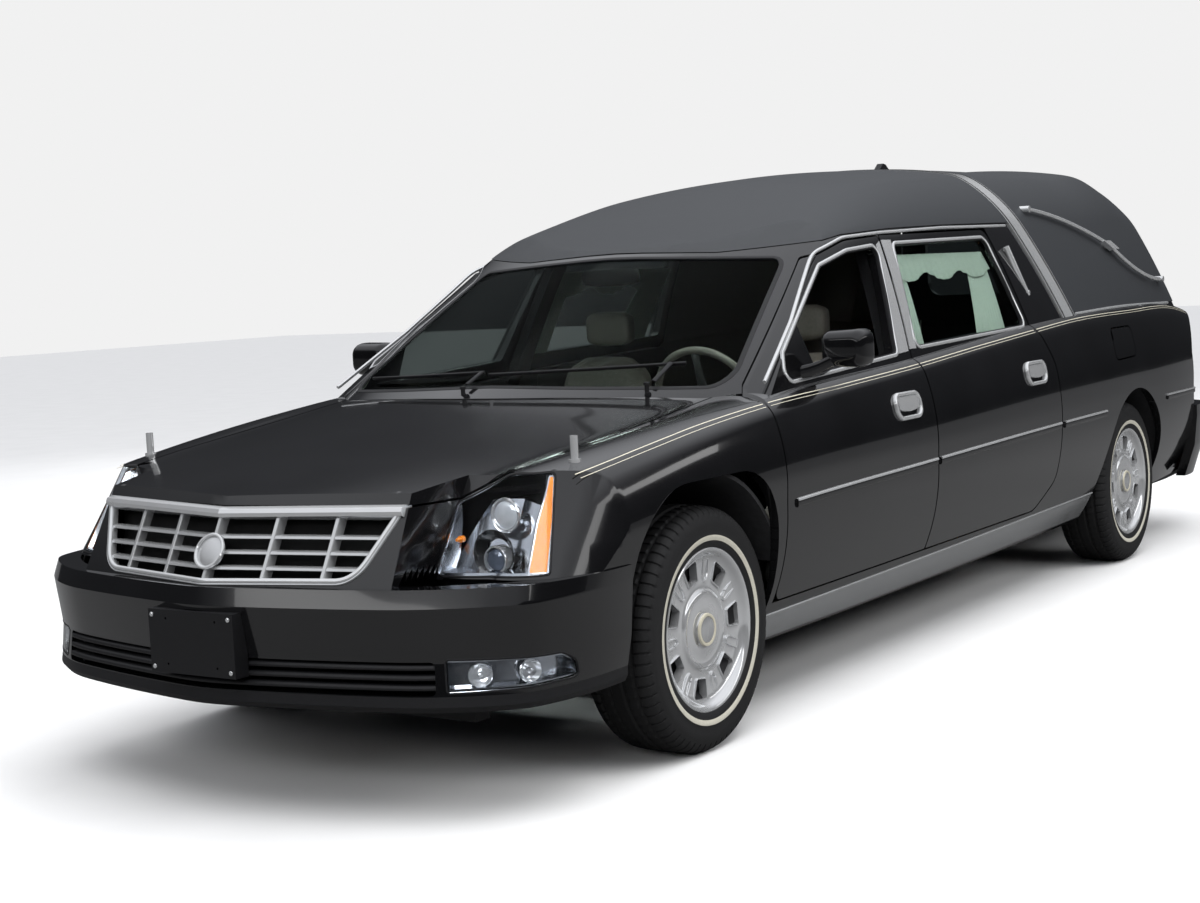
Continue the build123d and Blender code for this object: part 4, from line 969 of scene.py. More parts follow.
# Mouldings
def moulding(name, path, mat, body="body", width=14, proud=4, sunk=3, closed=False, flat=0.55,
             nodes=()):
    """A rounded strip along (point, normal) pairs in millimetres."""
    pts = np.array([p for p, _ in path], float)
    nor = np.array([n for _, n in path], float)
    if closed:
        tan = np.roll(pts, -1, 0) - np.roll(pts, 1, 0)
    else:
        tan = np.gradient(pts, axis=0)
    tan /= np.maximum(np.linalg.norm(tan, axis=1), 1e-9)[:, None]
    side = np.cross(tan, nor)
    side /= np.maximum(np.linalg.norm(side, axis=1), 1e-9)[:, None]
    half = width / 2
    section = [(-half, -sunk), (-half, proud * 0.35), (-half * 0.86, proud * 0.75), (-half * flat, proud),
               (half * flat, proud), (half * 0.86, proud * 0.75), (half, proud * 0.35), (half, -sunk)]
    rings = np.array([[p + s * u + n * v for u, v in section] for p, s, n in zip(pts, side, nor)])
    n, m = rings.shape[:2]
    faces = ring_faces(n, m, closed)
    if not closed:
        faces += [tuple(range(m)), tuple(range((n - 1) * m, n * m))[::-1]]
    obj = put(name, rings.reshape(-1, 3), faces)
    face_outward(obj)
    creased(obj, 50)
    return own(obj, mat, body, *nodes)


def run(points, step=18.0):
    """Points along a polyline at even steps, smoothed through its corners."""
    pts = np.array(points, float)
    length = np.concatenate([[0], np.cumsum(np.linalg.norm(np.diff(pts, axis=0), axis=1))])
    t = np.linspace(0, length[-1], max(int(length[-1] / step), 2) + 1)
    return np.stack([np.interp(t, length, pts[:, k]) for k in range(pts.shape[1])], 1)


def around(outline, step):
    """A closed outline in even steps."""
    return run(np.vstack([outline, outline[:1]]), step)[:-1]


def curve_through(points, step=15.0):
    """Smooth line through (station, z) points with station rising."""
    pts = np.array(points, float)
    s0 = np.arange(pts[0, 0], pts[-1, 0] + 1e-6, step)
    if pts[-1, 0] - s0[-1] > 1:
        s0 = np.append(s0, pts[-1, 0])
    return np.stack([s0, rows_at(pts, s0)[:, 0]], 1)


def on_body(line):
    """Points and normals of the lower skin along (station, z)."""
    return [outer_skin.edge(st, z=z) for st, z in line]


def on_roof(line):
    """Points and normals of the roof's skin along (station, z)."""
    return [roof_skin.edge(st, z=z) for st, z in line]


def mirror_path(path):
    """Points and normals on the other side."""
    return [(p * [-1, 1, 1], n * [-1, 1, 1]) for p, n in path]


def on_both(name, path, mat, body="body", **size):
    """The moulding on the left and on the right. A body's name ends with its side."""
    for side in ("left", "right"):
        rides = body.replace("left", side)
        moulding(f"{name}_{side}", path if side == "left" else mirror_path(path), mat, rides, **size)


STRIPE = [(-545, 852), (-250, 893), (0, 924), (390, 957), (900, 979), (1440, 1003), (2000, 1036),
          (2590, 1068), (3050, 1090), (3700, 1097), (4370, 1090), (4700, 1052)]
RUNS = [("fender", "body", -545, DOOR_FRONT - GAP - 3), ("front", "front_door_left", DOOR_FRONT + 3, 1481),
        ("rear", "rear_door_left", 1495, 2586), ("quarter", "body", 2604, 4680)]
for tag, body, start, end in RUNS:
    for shift, wide in ((0, 3.2), (-9, 2.0)):
        line = curve_through(STRIPE, 15)
        line = line[(line[:, 0] >= start) & (line[:, 0] <= end)] + [0, shift]
        on_both(f"stripe_{tag}_{abs(shift)}", on_body(line), cream, body, width=wide, proud=0.5, sunk=1,
                flat=0.8)
RUB = [(0, 645), (370, 658), (1480, 675), (2690, 689), (3307, 692), (3947, 695), (4560, 690)]
RUB_RUNS = [("front", "front_door_left", DOOR_FRONT + 40, 1480), ("rear", "rear_door_left", 1496, 2680),
            ("quarter", "body", 2702, 3215), ("tail", "body", 4060, 4550)]
for tag, body, start, end in RUB_RUNS:
    line = curve_through(RUB, 15)
    line = line[(line[:, 0] >= start) & (line[:, 0] <= end)]
    on_both(f"rub_strip_{tag}", on_body(line + [0, -5]), gloss, body, width=26, proud=7, sunk=3)
    on_both(f"rub_chrome_{tag}", on_body(line + [0, 5]), chrome, body, width=10, proud=9, sunk=1)

SILL_LINE = [(360, 325), (1500, 334), (3225, 352)]
line = curve_through(SILL_LINE, 30)
on_both("sill_edge", on_body(line + [0, -4]), chrome, "body", width=9, proud=4, sunk=3)


def band(name, line_top, line_bottom, surface, mat, body, proud=1.2):
    """A thin plate on a surface between two lines of (station, z), on both sides."""
    n = 8
    rows = [[surface.edge(a[0] + (b[0] - a[0]) * k / n, z=a[1] + (b[1] - a[1]) * k / n) for k in range(n + 1)]
            for a, b in zip(line_top, line_bottom)]
    outer = np.array([[p + q * proud for p, q in row] for row in rows])
    inner = np.array([[p - q * 2 for p, q in row] for row in rows])
    for side, sign in SIDES:
        ring = np.concatenate([outer, inner[:, ::-1]], 1) * [sign, 1, 1]
        tube = tube_between(f"{name}_{side}", list(ring))
        creased(tube, 40)
        own(tube, mat, body.replace("left", side))


band("sill_band", curve_through(SILL_LINE, 30) + [0, -8],
     curve_through([(360, 236), (1500, 232), (3225, 246)], 30), outer_skin, satin, "body")


# Window surrounds, the wide strips between the doors and the drip rail
for tag, outline, body in (("front", FRONT_WINDOW, "front_door_left"),
                           ("rear", REAR_WINDOW, "rear_door_left")):
    ring = grown(outline, 7)
    on_both(f"window_{tag}", on_roof(ring), chrome, body, width=13, proud=4, sunk=4, closed=True)
    on_both(f"window_seal_{tag}", on_roof(grown(outline, 0)), trim, body, width=6, proud=1.5, sunk=12,
            closed=True)
for tag, body, top, bottom in (("front", "front_door_left", ((1545, 1420), (1578, 1432)),
                                ((1389, 1045), (1478, 1050))),
                               ("rear", "rear_door_left", ((1597, 1436), (1672, 1436)),
                                ((1494, 1056), (1545, 1056)))):
    u = np.linspace(0, 1, 24)[:, None]
    fore = (1 - u) * np.array(top[0]) + u * np.array(bottom[0])
    aft = (1 - u) * np.array(top[1]) + u * np.array(bottom[1])
    band(f"pillar_plate_{tag}", fore, aft, roof_skin, chrome, body, 1.6)

DRIP = [(470, 1014), (780, 1190), (1092, 1398), (1320, 1448), (1600, 1462), (2150, 1477), (2560, 1480),
        (2800, 1482)]
line = run(rounded(DRIP + [(2800, 3000), (470, 3000)], [1, 200, 220, 300, 200, 200, 50, 1, 1, 1]), 14)
line = line[line[:, 1] < 1483]
line = line[line[:, 0] < 2790]
order = np.argsort(line[:, 0])
on_both("drip_rail", on_roof(line[order]), chrome, "body", width=11, proud=6, sunk=3)
line = curve_through([(3120, 1108), (3700, 1116), (4380, 1108)], 20)
on_both("vinyl_foot", on_roof(line), chrome, "body", width=13, proud=7, sunk=2)


# Bumpers
FRONT_BUMPER = [
    (296, (0, -1078), (580, -966), (850, -800), (900, -440)),
    (312, (0, -1090), (587, -978), (860, -808), (908, -440)),
    (336, (0, -1086), (585, -975), (858, -805), (910, -440)),
    (420, (0, -1078), (575, -968), (862, -792), (926, -440)),
    (560, (0, -1100), (575, -990), (878, -800), (938, -440)),
    (BUMPER_TOP - 0.3, (0, -1084), (572, -972), (872, -785), (938, -440)),
]
BUMPER_WALL = 45


def bumper_solid(levels, facing, inset, name, blur=3):
    """Bumper cover between its end faces, its corners softened. facing is -1 at the nose."""
    rows = np.array([[z] + [c for point in points for c in point] for z, *points in levels], float)
    heights = np.unique(np.concatenate([np.linspace(rows[0, 0], rows[-1, 0], 26), rows[:, 0]]))
    loops = []
    for z in heights:
        flat = np.array([np.interp(z, rows[:, 0], rows[:, k]) for k in range(1, rows.shape[1])])
        flat = flat.reshape(-1, 2)
        end = flat[-1, 1]
        corners = [(x - (inset if x else 0), st - facing * inset) for x, st in flat]
        corners[-1] = (corners[-1][0], end - facing * (5 if inset else 0))
        half = plan_line(corners, (10, 20, 20) if facing < 0 else (-10, -20, -20), 17)
        for _ in range(blur):
            half[1:-1] = half[1:-1] * 0.5 + (half[:-2] + half[2:]) * 0.25
            half[0, 1] = half[0, 1] * 0.5 + half[1, 1] * 0.5
        ring = np.concatenate([half, (half[1:] * [-1, 1])[::-1]])
        loops.append(raised(ring, 2, z))
    return tube_between(name, loops)


COVER_FACET = 24
FOG = rounded([(-164, 348), (176, 354), (170, 396), (132, 421), (-164, 427)], [5, 12, 24, 30, 5])
INLET = rounded([(-668, 340), (668, 340), (662, 424), (-662, 424)], 12)
front_cover = bumper_solid(FRONT_BUMPER, -1, 0, "front_cover")
front_hollow = bumper_solid(FRONT_BUMPER, -1, BUMPER_WALL, "front_hollow")
cover_source = Source(front_cover, COVER_FACET)
fog_tool = both_sides(corner_prism(FOG, name="fog_tool"))
slot_tool = prism_y(INLET, -1200, -600, "slot_tool")
bumper = cut(copy_of(front_cover, "front_bumper_cover"), front_hollow)
slot_fill = cut(cut(copy_of(bumper, "slot_fill"), slot_tool, "INTERSECT"), fog_tool)
cut(cut(bumper, fog_tool), slot_tool)
lip = split_off(bumper, "bumper_lip", block(-WIDE, WIDE, -1300, -300, 200, 338))
own(polish(bumper, [cover_source], COVER_FACET), paint, "body", "front_bumper")
own(polish(lip, [cover_source], COVER_FACET), trim, "body", "front_bumper")
SLATS, SLAT_FOOT, SLAT_PITCH, SLAT_TALL = 3, 354, 25, 11
for index in range(SLATS):
    z = SLAT_FOOT + index * SLAT_PITCH
    slat = shared(slot_fill, f"bumper_slat_{index}", block(-700, 700, -1200, -600, z, z + SLAT_TALL))
    own(slat, trim, "body", "front_bumper")
# Painted shade: a dead black sheet inside the bumper, behind the slots
slot_shade = shared(front_hollow, "bumper_slot_shade", block(-690, 690, -1200, -600, 332, 432))
cut(slot_shade, fog_tool)
own(slot_shade, dark, "body", "front_bumper")
drop(slot_fill)

nose_panel = shared(shell, "nose_panel", block(-576, 576, -1300, -640, BUMPER_TOP - 4, HOOD_LINE - 3))
GRILLE = rounded([(-538, 788), (538, 788), (452, 612), (0, 606), (-452, 612)], [10, 10, 90, 900, 90])
carve(nose_panel, prism_y(GRILLE, -1300, -700))
carve(nose_panel, both_sides(copy_of(lamp_tool, "lamps_both")))
own(polish(nose_panel, SOURCES), paint, "body", "front_bumper")


def nose_station(x, z, shift=0.0):
    """Station of the grille's face, a V in plan that leans back."""
    low = -1116 + 105 * abs(x) / 563
    high = -879 + 99 * abs(x) / 538
    return low + (high - low) * (z - 500) / 450 + shift


# Grille
def half_width(outline, z):
    """Half width of an outline at a height."""
    a, b = outline, np.roll(outline, -1, 0)
    hit = (a[:, 1] - z) * (b[:, 1] - z) < 0
    t = (z - a[hit, 1]) / (b[hit, 1] - a[hit, 1])
    return np.max(np.abs(a[hit, 0] + t * (b[hit, 0] - a[hit, 0])))


def bar(name, ends, wide, front, back, mat, upright=True, bevel=1.6):
    """A grille bar that follows the leaning V, between two (x, z) ends."""
    rings = []
    h = wide / 2
    for x, z in run(ends, 24):
        ring = []
        for u, depth in ((-h, back), (-h, front + bevel * 2), (-h + bevel, front), (h - bevel, front),
                         (h, front + bevel * 2), (h, back)):
            px, pz = (x + u, z) if upright else (x, z + u)
            ring.append((px, nose_station(px, pz, depth), pz))
        rings.append(ring)
    obj = tube_between(name, rings)
    creased(obj, 30)
    return own(obj, mat, "body", "grille")


UPRIGHTS, LEVELS, LEVEL_FOOT, LEVEL_PITCH = 5, 3, 648, 38
for index in range(UPRIGHTS):
    x = (index - 2) * 2 * 530 / 6
    bar(f"grille_upright_{index}", [(x, 618), (x, 772)], 12, -2, 30, satin)
for index in range(LEVELS):
    z = LEVEL_FOOT + index * LEVEL_PITCH
    for side, sign in SIDES:
        bar(f"grille_level_{index}_{side}", [(0, z), (sign * (half_width(GRILLE, z) - 10), z)], 9, 0, 28,
            satin, False)
for tag, inset, wide, front, mat in (("frame", 9, 15, -6, chrome), ("rim", 1, 6, -3, satin)):
    ring = around(grown(GRILLE, -inset), 12)
    path = [(np.array([x, nose_station(x, z, 2), z]), np.array([0.0, -0.88, 0.47])) for x, z in ring]
    moulding(f"grille_{tag}", path, mat, "body", wide, -front + 4, 14, True, nodes=("grille",))
for side, sign in SIDES:
    rings = []
    for x in np.linspace(0, 541, 24):
        s0, z = nose_station(x, 788, 2), 782 + 6 * x / 541
        rings.append([(sign * x, s0 + a, z + b) for a, b in
                      ((24, -14), (-8, -14), (-17, -8), (-19, 2), (-14, 12), (0, 17), (24, 18))])
    top_bar = tube_between(f"grille_crown_{side}", rings)
    creased(top_bar, 35)
    own(top_bar, chrome, "body", "grille")
# Painted shade: a dead black sheet behind the grille's bars
grille_shade_loops = []
for z in (612, 700, 788):
    half = 560 if z > 700 else 500
    xs = np.linspace(-half, half, 41)
    front_line = np.array([(x, nose_station(x, z, 62), z) for x in xs])
    grille_shade_loops.append(np.concatenate([front_line, front_line[::-1] + [0, 6, 0]]))
own(tube_between("grille_depth", grille_shade_loops), dark, "body", "grille")


def turned(name, profile, centre, axis, mat, body, count=64, sharp=30, nodes=()):
    """A turned piece: profile of (along the axis, radius) in millimetres."""
    axis = np.array(axis, float) / np.linalg.norm(axis)
    helper = np.array([0, 0, 1.0]) if abs(axis[2]) < 0.9 else np.array([1.0, 0, 0])
    e1 = np.cross(helper, axis)
    e1 /= np.linalg.norm(e1)
    e2 = np.cross(axis, e1)
    verts, faces, n = [], [], len(profile)
    for k in range(count):
        a = 2 * math.pi * k / count
        d = e1 * math.cos(a) + e2 * math.sin(a)
        verts += [np.array(centre) + axis * t + d * r for t, r in profile]
    for k in range(count):
        j = (k + 1) % count
        faces += [(k * n + i, k * n + i + 1, j * n + i + 1, j * n + i) for i in range(n - 1)]
    obj = put(name, verts, faces)
    face_outward(obj, 1e-6)
    creased(obj, sharp)
    return own(obj, mat, body, *nodes)


def ring_profile(radius, half, steps=10):
    """A closed round rib at a radius."""
    return [(half * math.sin(a), radius + half * math.cos(a)) for a in np.linspace(0, 2 * math.pi, steps + 1)]


lean = (0, -0.88, 0.47)
BOSS = (0, nose_station(0, 690, -6), 690)
turned("boss_ring", ring_profile(46, 5), BOSS, lean, chrome, "body", nodes=("grille",))
turned("boss_plate", [(-12, 0), (-12, 44), (-3, 44), (-1, 36), (1, 20), (1.6, 0)], BOSS, lean, satin, "body",
       nodes=("grille",))


# Wheels
def smooth_profile(points, n):
    """A profile in even steps, on a smooth curve."""
    pts = np.array(points, float)
    length = np.concatenate([[0], np.cumsum(np.linalg.norm(np.diff(pts, axis=0), axis=1))])
    t = np.linspace(0, length[-1], n)
    rows = np.column_stack([length, pts])
    return rows_at(rows, t)


TYRE = [(-86, 216), (-103, 231), (-112, 262), (-112.5, 282), (-109, 316), (-100, 335), (-86, 345),
        (-60, 349.5), (0, 351), (60, 349.5), (86, 345), (100, 335), (109, 316), (112.5, 282), (112, 262),
        (103, 231), (86, 216)]
PITCHES, WHITE = 68, (254, 267)


def tyre_mesh(name, station, body, node, left=True):
    """A tyre with grooves, sipes, a ribbed wall and a pale band."""
    base = smooth_profile(TYRE, 93)
    fractions = (0.0, 0.10, 0.20, 0.26, 0.63)
    angles = np.array([(k + f) * 2 * math.pi / PITCHES for k in range(PITCHES) for f in fractions])
    in_sipe = np.tile([0, 1, 1, 0, 0], PITCHES)
    x, r = base[:, 0], base[:, 1]
    depth = np.zeros((len(angles), len(base)))
    for groove in (-62, -22, 22, 62):
        depth += 6.0 * (np.abs(x - groove) < 4.2) * (r > 340)
    shoulder = (np.abs(x) > 66) & (np.abs(x) < 108) & (r > 318)
    depth = np.maximum(depth, 4.5 * in_sipe[:, None] * shoulder[None, :])
    blocks = (np.abs(x) > 28) & (np.abs(x) < 56)
    depth = np.maximum(depth, 3.5 * np.roll(in_sipe, 2)[:, None] * blocks[None, :])
    side_rib = (r < 318) & (r > 272)
    depth = depth - 0.5 * side_rib * np.sin(r * 1.1)[None, :]
    white = (r > WHITE[0] - 1) & (r < WHITE[1] + 1) & (x > 0)
    depth = depth - 0.8 * white
    out = np.stack([np.sign(x) * (np.abs(x) > 100), (np.abs(x) <= 100) * 1.0], 1)
    px = x[None, :] - depth * out[None, :, 0]
    pr = r[None, :] - depth * out[None, :, 1]
    sign = 1 if left else -1
    ys, zs = np.cos(angles)[:, None] * pr, np.sin(angles)[:, None] * pr
    verts = np.stack([sign * (TRACK + px), station + ys, TYRE_R + zs], -1)
    n, m = verts.shape[:2]
    faces = []
    for k in range(n):
        j = (k + 1) % n
        for i in range(m - 1):
            quad = (k * m + i, k * m + i + 1, j * m + i + 1, j * m + i)
            faces.append(quad if left else quad[::-1])
    obj = put(name, verts.reshape(-1, 3), faces)
    face_outward(obj)
    creased(obj, 38)
    own(obj, rubber, body, node)
    obj.data.materials.append(white_rubber)
    ring = [(WHITE[0] <= (r[i] + r[i + 1]) / 2 <= WHITE[1]) and x[i] > 0 for i in range(m - 1)]
    obj.data.polygons.foreach_set("material_index", [int(v) for _ in range(n) for v in ring])


COVER = [(60, 0), (96, 0), (97, 20), (96, 36), (92, 43), (87, 46), (86.5, 60), (86, 98), (87.5, 103),
         (89, 106), (87, 110), (82, 116), (80, 126), (79, 150), (80, 178), (84, 200), (92, 211), (100, 218),
         (105, 225), (106, 231), (102, 233), (92, 231), (92, 226), (88, 220), (76, 206), (72, 190), (70, 126),
         (74, 112), (60, 98)]
SPOKES = 7
WINDOW = rounded([(-24, 139), (24, 139), (37, 199), (-37, 199)], [7, 7, 9, 9], 12)


def on_wheel(points, station, angle, left=True):
    """Points (outward, sideways, radial) of a wheel at an angle from its top."""
    p = np.asarray(points, float)
    a = math.radians(angle)
    sign = 1 if left else -1
    ys = p[..., 1] * math.cos(a) + p[..., 2] * math.sin(a)
    zs = -p[..., 1] * math.sin(a) + p[..., 2] * math.cos(a)
    return np.stack([sign * (TRACK + p[..., 0]), station + ys, TYRE_R + zs], -1)


def joined(name, objs):
    """Several meshes as one object."""
    one = placed(name, merged(name, objs))
    drop(*objs)
    return one


def wheel_pieces(tag, station, body, node, left=True, phase=-17.0):
    """Cover with windows and ribs, rim, cap and its ring."""
    profile = smooth_profile(COVER, 110)
    count = 210
    angle = np.linspace(0, 2 * np.pi, count, endpoint=False)
    cover_loops = [on_wheel(np.column_stack([np.full(count, x), r * np.sin(angle), r * np.cos(angle)]),
                            station, 0)
                   for x, r in profile[1:-1]]
    cover = tube_between(f"cover_{tag}", cover_loops, True)
    ribs = []
    for index in range(SPOKES):
        turn_by = phase + index * 360 / SPOKES
        loops = [on_wheel(raised(WINDOW, 0, x), station, turn_by) for x in (40, 130)]
        carve(cover, tube_between("window", loops))
        low, high = 76, 84.5
        outer, inner = grown(WINDOW, 2.5), grown(WINDOW, -1.5)
        ring = [raised(line, 0, x) for x, line in
                ((low, outer), (high - 1.5, outer), (high, (outer * 2 + inner) / 3), (high - 1, inner),
                 (58, inner))]
        verts = np.concatenate([on_wheel(r, station, turn_by) for r in ring])
        lip = put("lip", verts, ring_faces(len(ring), len(WINDOW), True))
        face_outward(lip)
        ribs.append(lip)
        side = turn_by + 180 / SPOKES
        path = [(-13, 202), (-12, 160), (-9, 142), (0, 134), (9, 142), (12, 160), (13, 202)]
        path = run(rounded(path + [(13, 900), (-13, 900)], [1, 20, 12, 12, 12, 20, 1, 1, 1]), 4)
        path = path[path[:, 1] < 203]
        start = np.argmax(np.linalg.norm(np.diff(path, axis=0), axis=1))
        path = np.roll(path, -(start + 1), 0)
        rings = []
        tang = np.gradient(path, axis=0)
        tang /= np.linalg.norm(tang, axis=1)[:, None]
        across = np.stack([tang[:, 1], -tang[:, 0]], 1)
        for point, over in zip(path, across):
            rings.append([(x, *(point + over * w)) for w, x in
                          ((-4, 76), (-3.4, 81), (-1.6, 84.6), (1.6, 84.6), (3.4, 81), (4, 76))])
        rib = tube_between("rib", [on_wheel(np.array(r), station, side) for r in rings])
        ribs.append(rib)
    cover = joined(f"cover_{tag}", [cover] + ribs)
    cover.data.polygons.foreach_set("use_smooth", [True] * len(cover.data.polygons))
    creased(cover, 32)
    barrel_profile = [(-86, 214), (-96, 226), (-97, 215), (-90, 205), (40, 196), (60, 205), (70, 212),
                      (70, 198), (52, 180), (46, 120), (40, 60), (40, 0), (36, 0), (36, 80), (40, 150),
                      (30, 188), (-84, 196), (-86, 214)]
    made = [own(cover, chrome, body, node)]
    for name, profile, mat, count in (
            ("rim", barrel_profile, iron, 96),
            ("cap_ring", [(94, 36), (98.5, 38), (99.5, 42), (98.5, 46), (93, 47.5)], cream, 64),
            ("cap", [(94, 37), (98, 36), (100, 28), (101.5, 14), (102, 0)], satin, 64)):
        made.append(turned(f"{name}_{tag}", profile, (TRACK, station, TYRE_R), (1, 0, 0), mat, body, count,
                           nodes=(node,)))
    if not left:
        for obj in made:
            mesh = obj.data
            mesh.transform(Matrix.Scale(-1, 4, (1, 0, 0)))
            mesh.flip_normals()


for end, station in (("front", 0), ("rear", WHEELBASE)):
    for side in ("left", "right"):
        body, left = f"{end}_wheel_{side}", side == "left"
        tyre_mesh(f"tyre_{end}_{side}_dressed", station, body, f"tyre_{end}_{side}", left)
        phase = -17.0 if end == "front" else 8.0
        wheel_pieces(f"{end}_{side}", station, body, f"wheel_{end}_{side}", left, phase)

# Wheelhouses
LINER_STATION, LINER_OUT, LINER_IN = -26, 452, 440
LINER_X, APRON_THICK, APRON_TOP = 475, 15, 812


def liner_room():
    return barrel(LINER_STATION, TYRE_R, LINER_IN, LINER_X + APRON_THICK, 950, 96)


liner = barrel(LINER_STATION, TYRE_R, LINER_OUT, LINER_X, 920, 96, "wheelhouse_left")
carve(liner, liner_room())
apron = block(LINER_X, LINER_X + APRON_THICK, -640, 418, 300, APRON_TOP)
cut(apron, block(LINER_X, 700, -600, 418, 800, APRON_TOP), "UNION", False)
carve(apron, liner_room())
cut(liner, apron, "UNION", False)
for tool in (block(0, WIDE, -600, 500, 0, 300), block(0, WIDE, 420, 600, 0, WIDE),
             block(835, WIDE, DOOR_FRONT - GAP, 600, 0, WIDE), block(860, WIDE, -600, -434, 0, 650)):
    carve(liner, tool)
cut(cut(cut(liner, inner_low, "INTERSECT"), lamp_tool), sill_room)
creased(liner, 35)
pair(liner, under, "front_fenders")


# Headlamps and fog lamps
def inset_solid(depth):
    """The body's nose moved inward."""
    tool = lower_surface(depth, np.arange(-1150, 101, 40.0), 80).solid(f"inset_{depth}")
    return carve(tool, end_prism(NOSE_LEVELS, NOSE_BOWS, NOSE_FAR, depth))


def on_corner(u, z, tree):
    """Point and normal where the diagonal through (u, z) meets a skin."""
    start = Vector(((u + 1500) * DIAGONAL, (u - 1500) * DIAGONAL + AXLE, z)) * 0.001
    hit, normal, _, _ = tree.ray_cast(start, Vector((-DIAGONAL, DIAGONAL, 0)))
    return np.array(hit) * 1000 - [0, AXLE, 0], np.array(normal)


def lamp_edge(name, path, node, **size):
    """The dark seal round a lamp, left and right."""
    for side, track in (("left", path), ("right", mirror_path(path))):
        moulding(f"{name}_{side}", track, trim, closed=True, nodes=(node,), **size)


insets = {depth: inset_solid(depth) for depth in (5, 7, 8, 10, 20, 75)}
lens = cut(shared(low_solid, "headlamp_lens_left", lamp_prism(-1)), insets[5])
pair(polish(lens, SOURCES), lamp_clear, "headlamps")
bowl = cut(copy_of(insets[10], "headlamp_bowl_left"), lamp_prism(-3, 870), "INTERSECT", False)
room = cut(cut(copy_of(insets[8], "room"), lamp_prism(-9), "INTERSECT", False), insets[75])
carve(bowl, room)
creased(bowl, 30)
pair(bowl, lamp_bowl, "headlamps")
AMBER = rounded([(64, 622), (107, 622), (138, 740), (158, 848), (149, 848), (136, 812), (102, 737)],
                [3, 3, 40, 3, 3, 40, 60])
strip = cut(copy_of(insets[7], "turn_signal_left"), corner_prism(AMBER), "INTERSECT", False)
cut(strip, insets[20])
pair(polish(strip, []), amber, "headlamps")
edge = cut(copy_of(insets[7], "turn_signal_edge_left"), corner_prism(grown(AMBER, 3.5)), "INTERSECT", False)
cut(carve(edge, corner_prism(grown(AMBER, 0.4))), insets[20])
pair(polish(edge, []), chrome, "headlamps")
drop(*insets.values())
path = [on_corner(u, z, SOURCES[0].tree) for u, z in around(grown(LAMP, -2.5), 9)]
lamp_edge("headlamp_edge", path, "headlamps", width=4.5, proud=0.8, sunk=3)

AHEAD = (0, -1, 0)
LOW_BEAM, HIGH_BEAM, BULB = (700, -704, 648), (693, -646, 755), (588, -712, 697)


def lamp_piece(name, profile, centre, mat, axis=AHEAD, count=56, node="headlamps"):
    """A turned part of a lamp, left and right."""
    pair(turned(f"{name}_left", profile, centre, axis, mat, "body", count), mat, node)


lamp_piece("high_beam_reflector", [(6, 45), (2, 42), (-8, 37), (-20, 28), (-27, 14), (-29, 0), (-32, 0),
                                   (-31, 16), (-23, 31), (-10, 41), (2, 46), (6, 45)], HIGH_BEAM, chrome)
lamp_piece("high_beam_ring", ring_profile(39, 3.6), HIGH_BEAM, chrome)
lamp_piece("high_beam_lens", [(-4, 0), (-4, 37), (0, 37), (3, 32), (6, 20), (7.5, 0)], HIGH_BEAM, fog_mat)
lamp_piece("low_beam_shroud", [(12, 62), (9, 60), (-2, 52), (-12, 42), (-16, 36), (-20, 36), (-16, 46),
                               (-4, 57), (10, 64), (12, 62)], (690, -694, 662), gloss)
lamp_piece("low_beam_barrel", [(-24, 37), (4, 37), (9, 35), (9, 31.5), (4, 31), (-24, 31), (-24, 37)],
           LOW_BEAM, chrome)
lamp_piece("low_beam_lens", [(-6, 0), (-6, 31), (-1, 31), (6, 26), (11, 15), (13, 0)], LOW_BEAM, lamp_dark)
lamp_piece("side_bulb", [(-16, 9), (-4, 9), (-4, 6), (4, 6.5), (11, 4), (13, 0)], BULB, amber, count=24)

fog_lens = shared(front_cover, "fog_lens_left", corner_prism(grown(FOG, -0.5)))
carve(fog_lens, bumper_solid(FRONT_BUMPER, -1, 4, "thin"))
pair(polish(fog_lens, [cover_source], COVER_FACET), lamp_clear, "fog_lamps")
fog_bowl = cut(bumper_solid(FRONT_BUMPER, -1, 9, "fog_bowl_left"), corner_prism(grown(FOG, -2)), "INTERSECT",
               False)
room = cut(bumper_solid(FRONT_BUMPER, -1, 8, "room"), corner_prism(grown(FOG, -6)), "INTERSECT", False)
carve(room, bumper_solid(FRONT_BUMPER, -1, 42, "deep"))
carve(fog_bowl, room)
carve(fog_bowl, bumper_solid(FRONT_BUMPER, -1, 50, "deep"))
creased(fog_bowl, 30)
pair(fog_bowl, lamp_bowl, "fog_lamps")
for index, u in enumerate((-84, 52)):
    spot, face = on_corner(u, 387, cover_source.tree)
    centre = spot - face * 26
    lamp_piece(f"fog_reflector_{index}", [(6, 29), (2, 27), (-6, 20), (-10, 8), (-11, 0), (-14, 0), (-12, 12),
                                          (-6, 24), (4, 31), (6, 29)], centre, chrome, face, 40, "fog_lamps")
    lamp_piece(f"fog_bulb_{index}", [(-10, 8), (2, 8), (8, 5), (10, 0)], centre, satin, face, 24, "fog_lamps")
path = [on_corner(u, z, cover_source.tree) for u, z in around(grown(FOG, 2), 10)]
lamp_edge("fog_edge", path, "fog_lamps", width=5, proud=1, sunk=4)


# Mirrors, handles and sail panels
MIRROR = (962, 800, 1098)


def mirror_ring(plan, sign, depth):
    """The mirror's plan at a depth behind its middle."""
    return np.stack([sign * (MIRROR[0] + plan[:, 0]), np.full(len(plan), MIRROR[1] + depth),
                     MIRROR[2] + plan[:, 1]], 1)


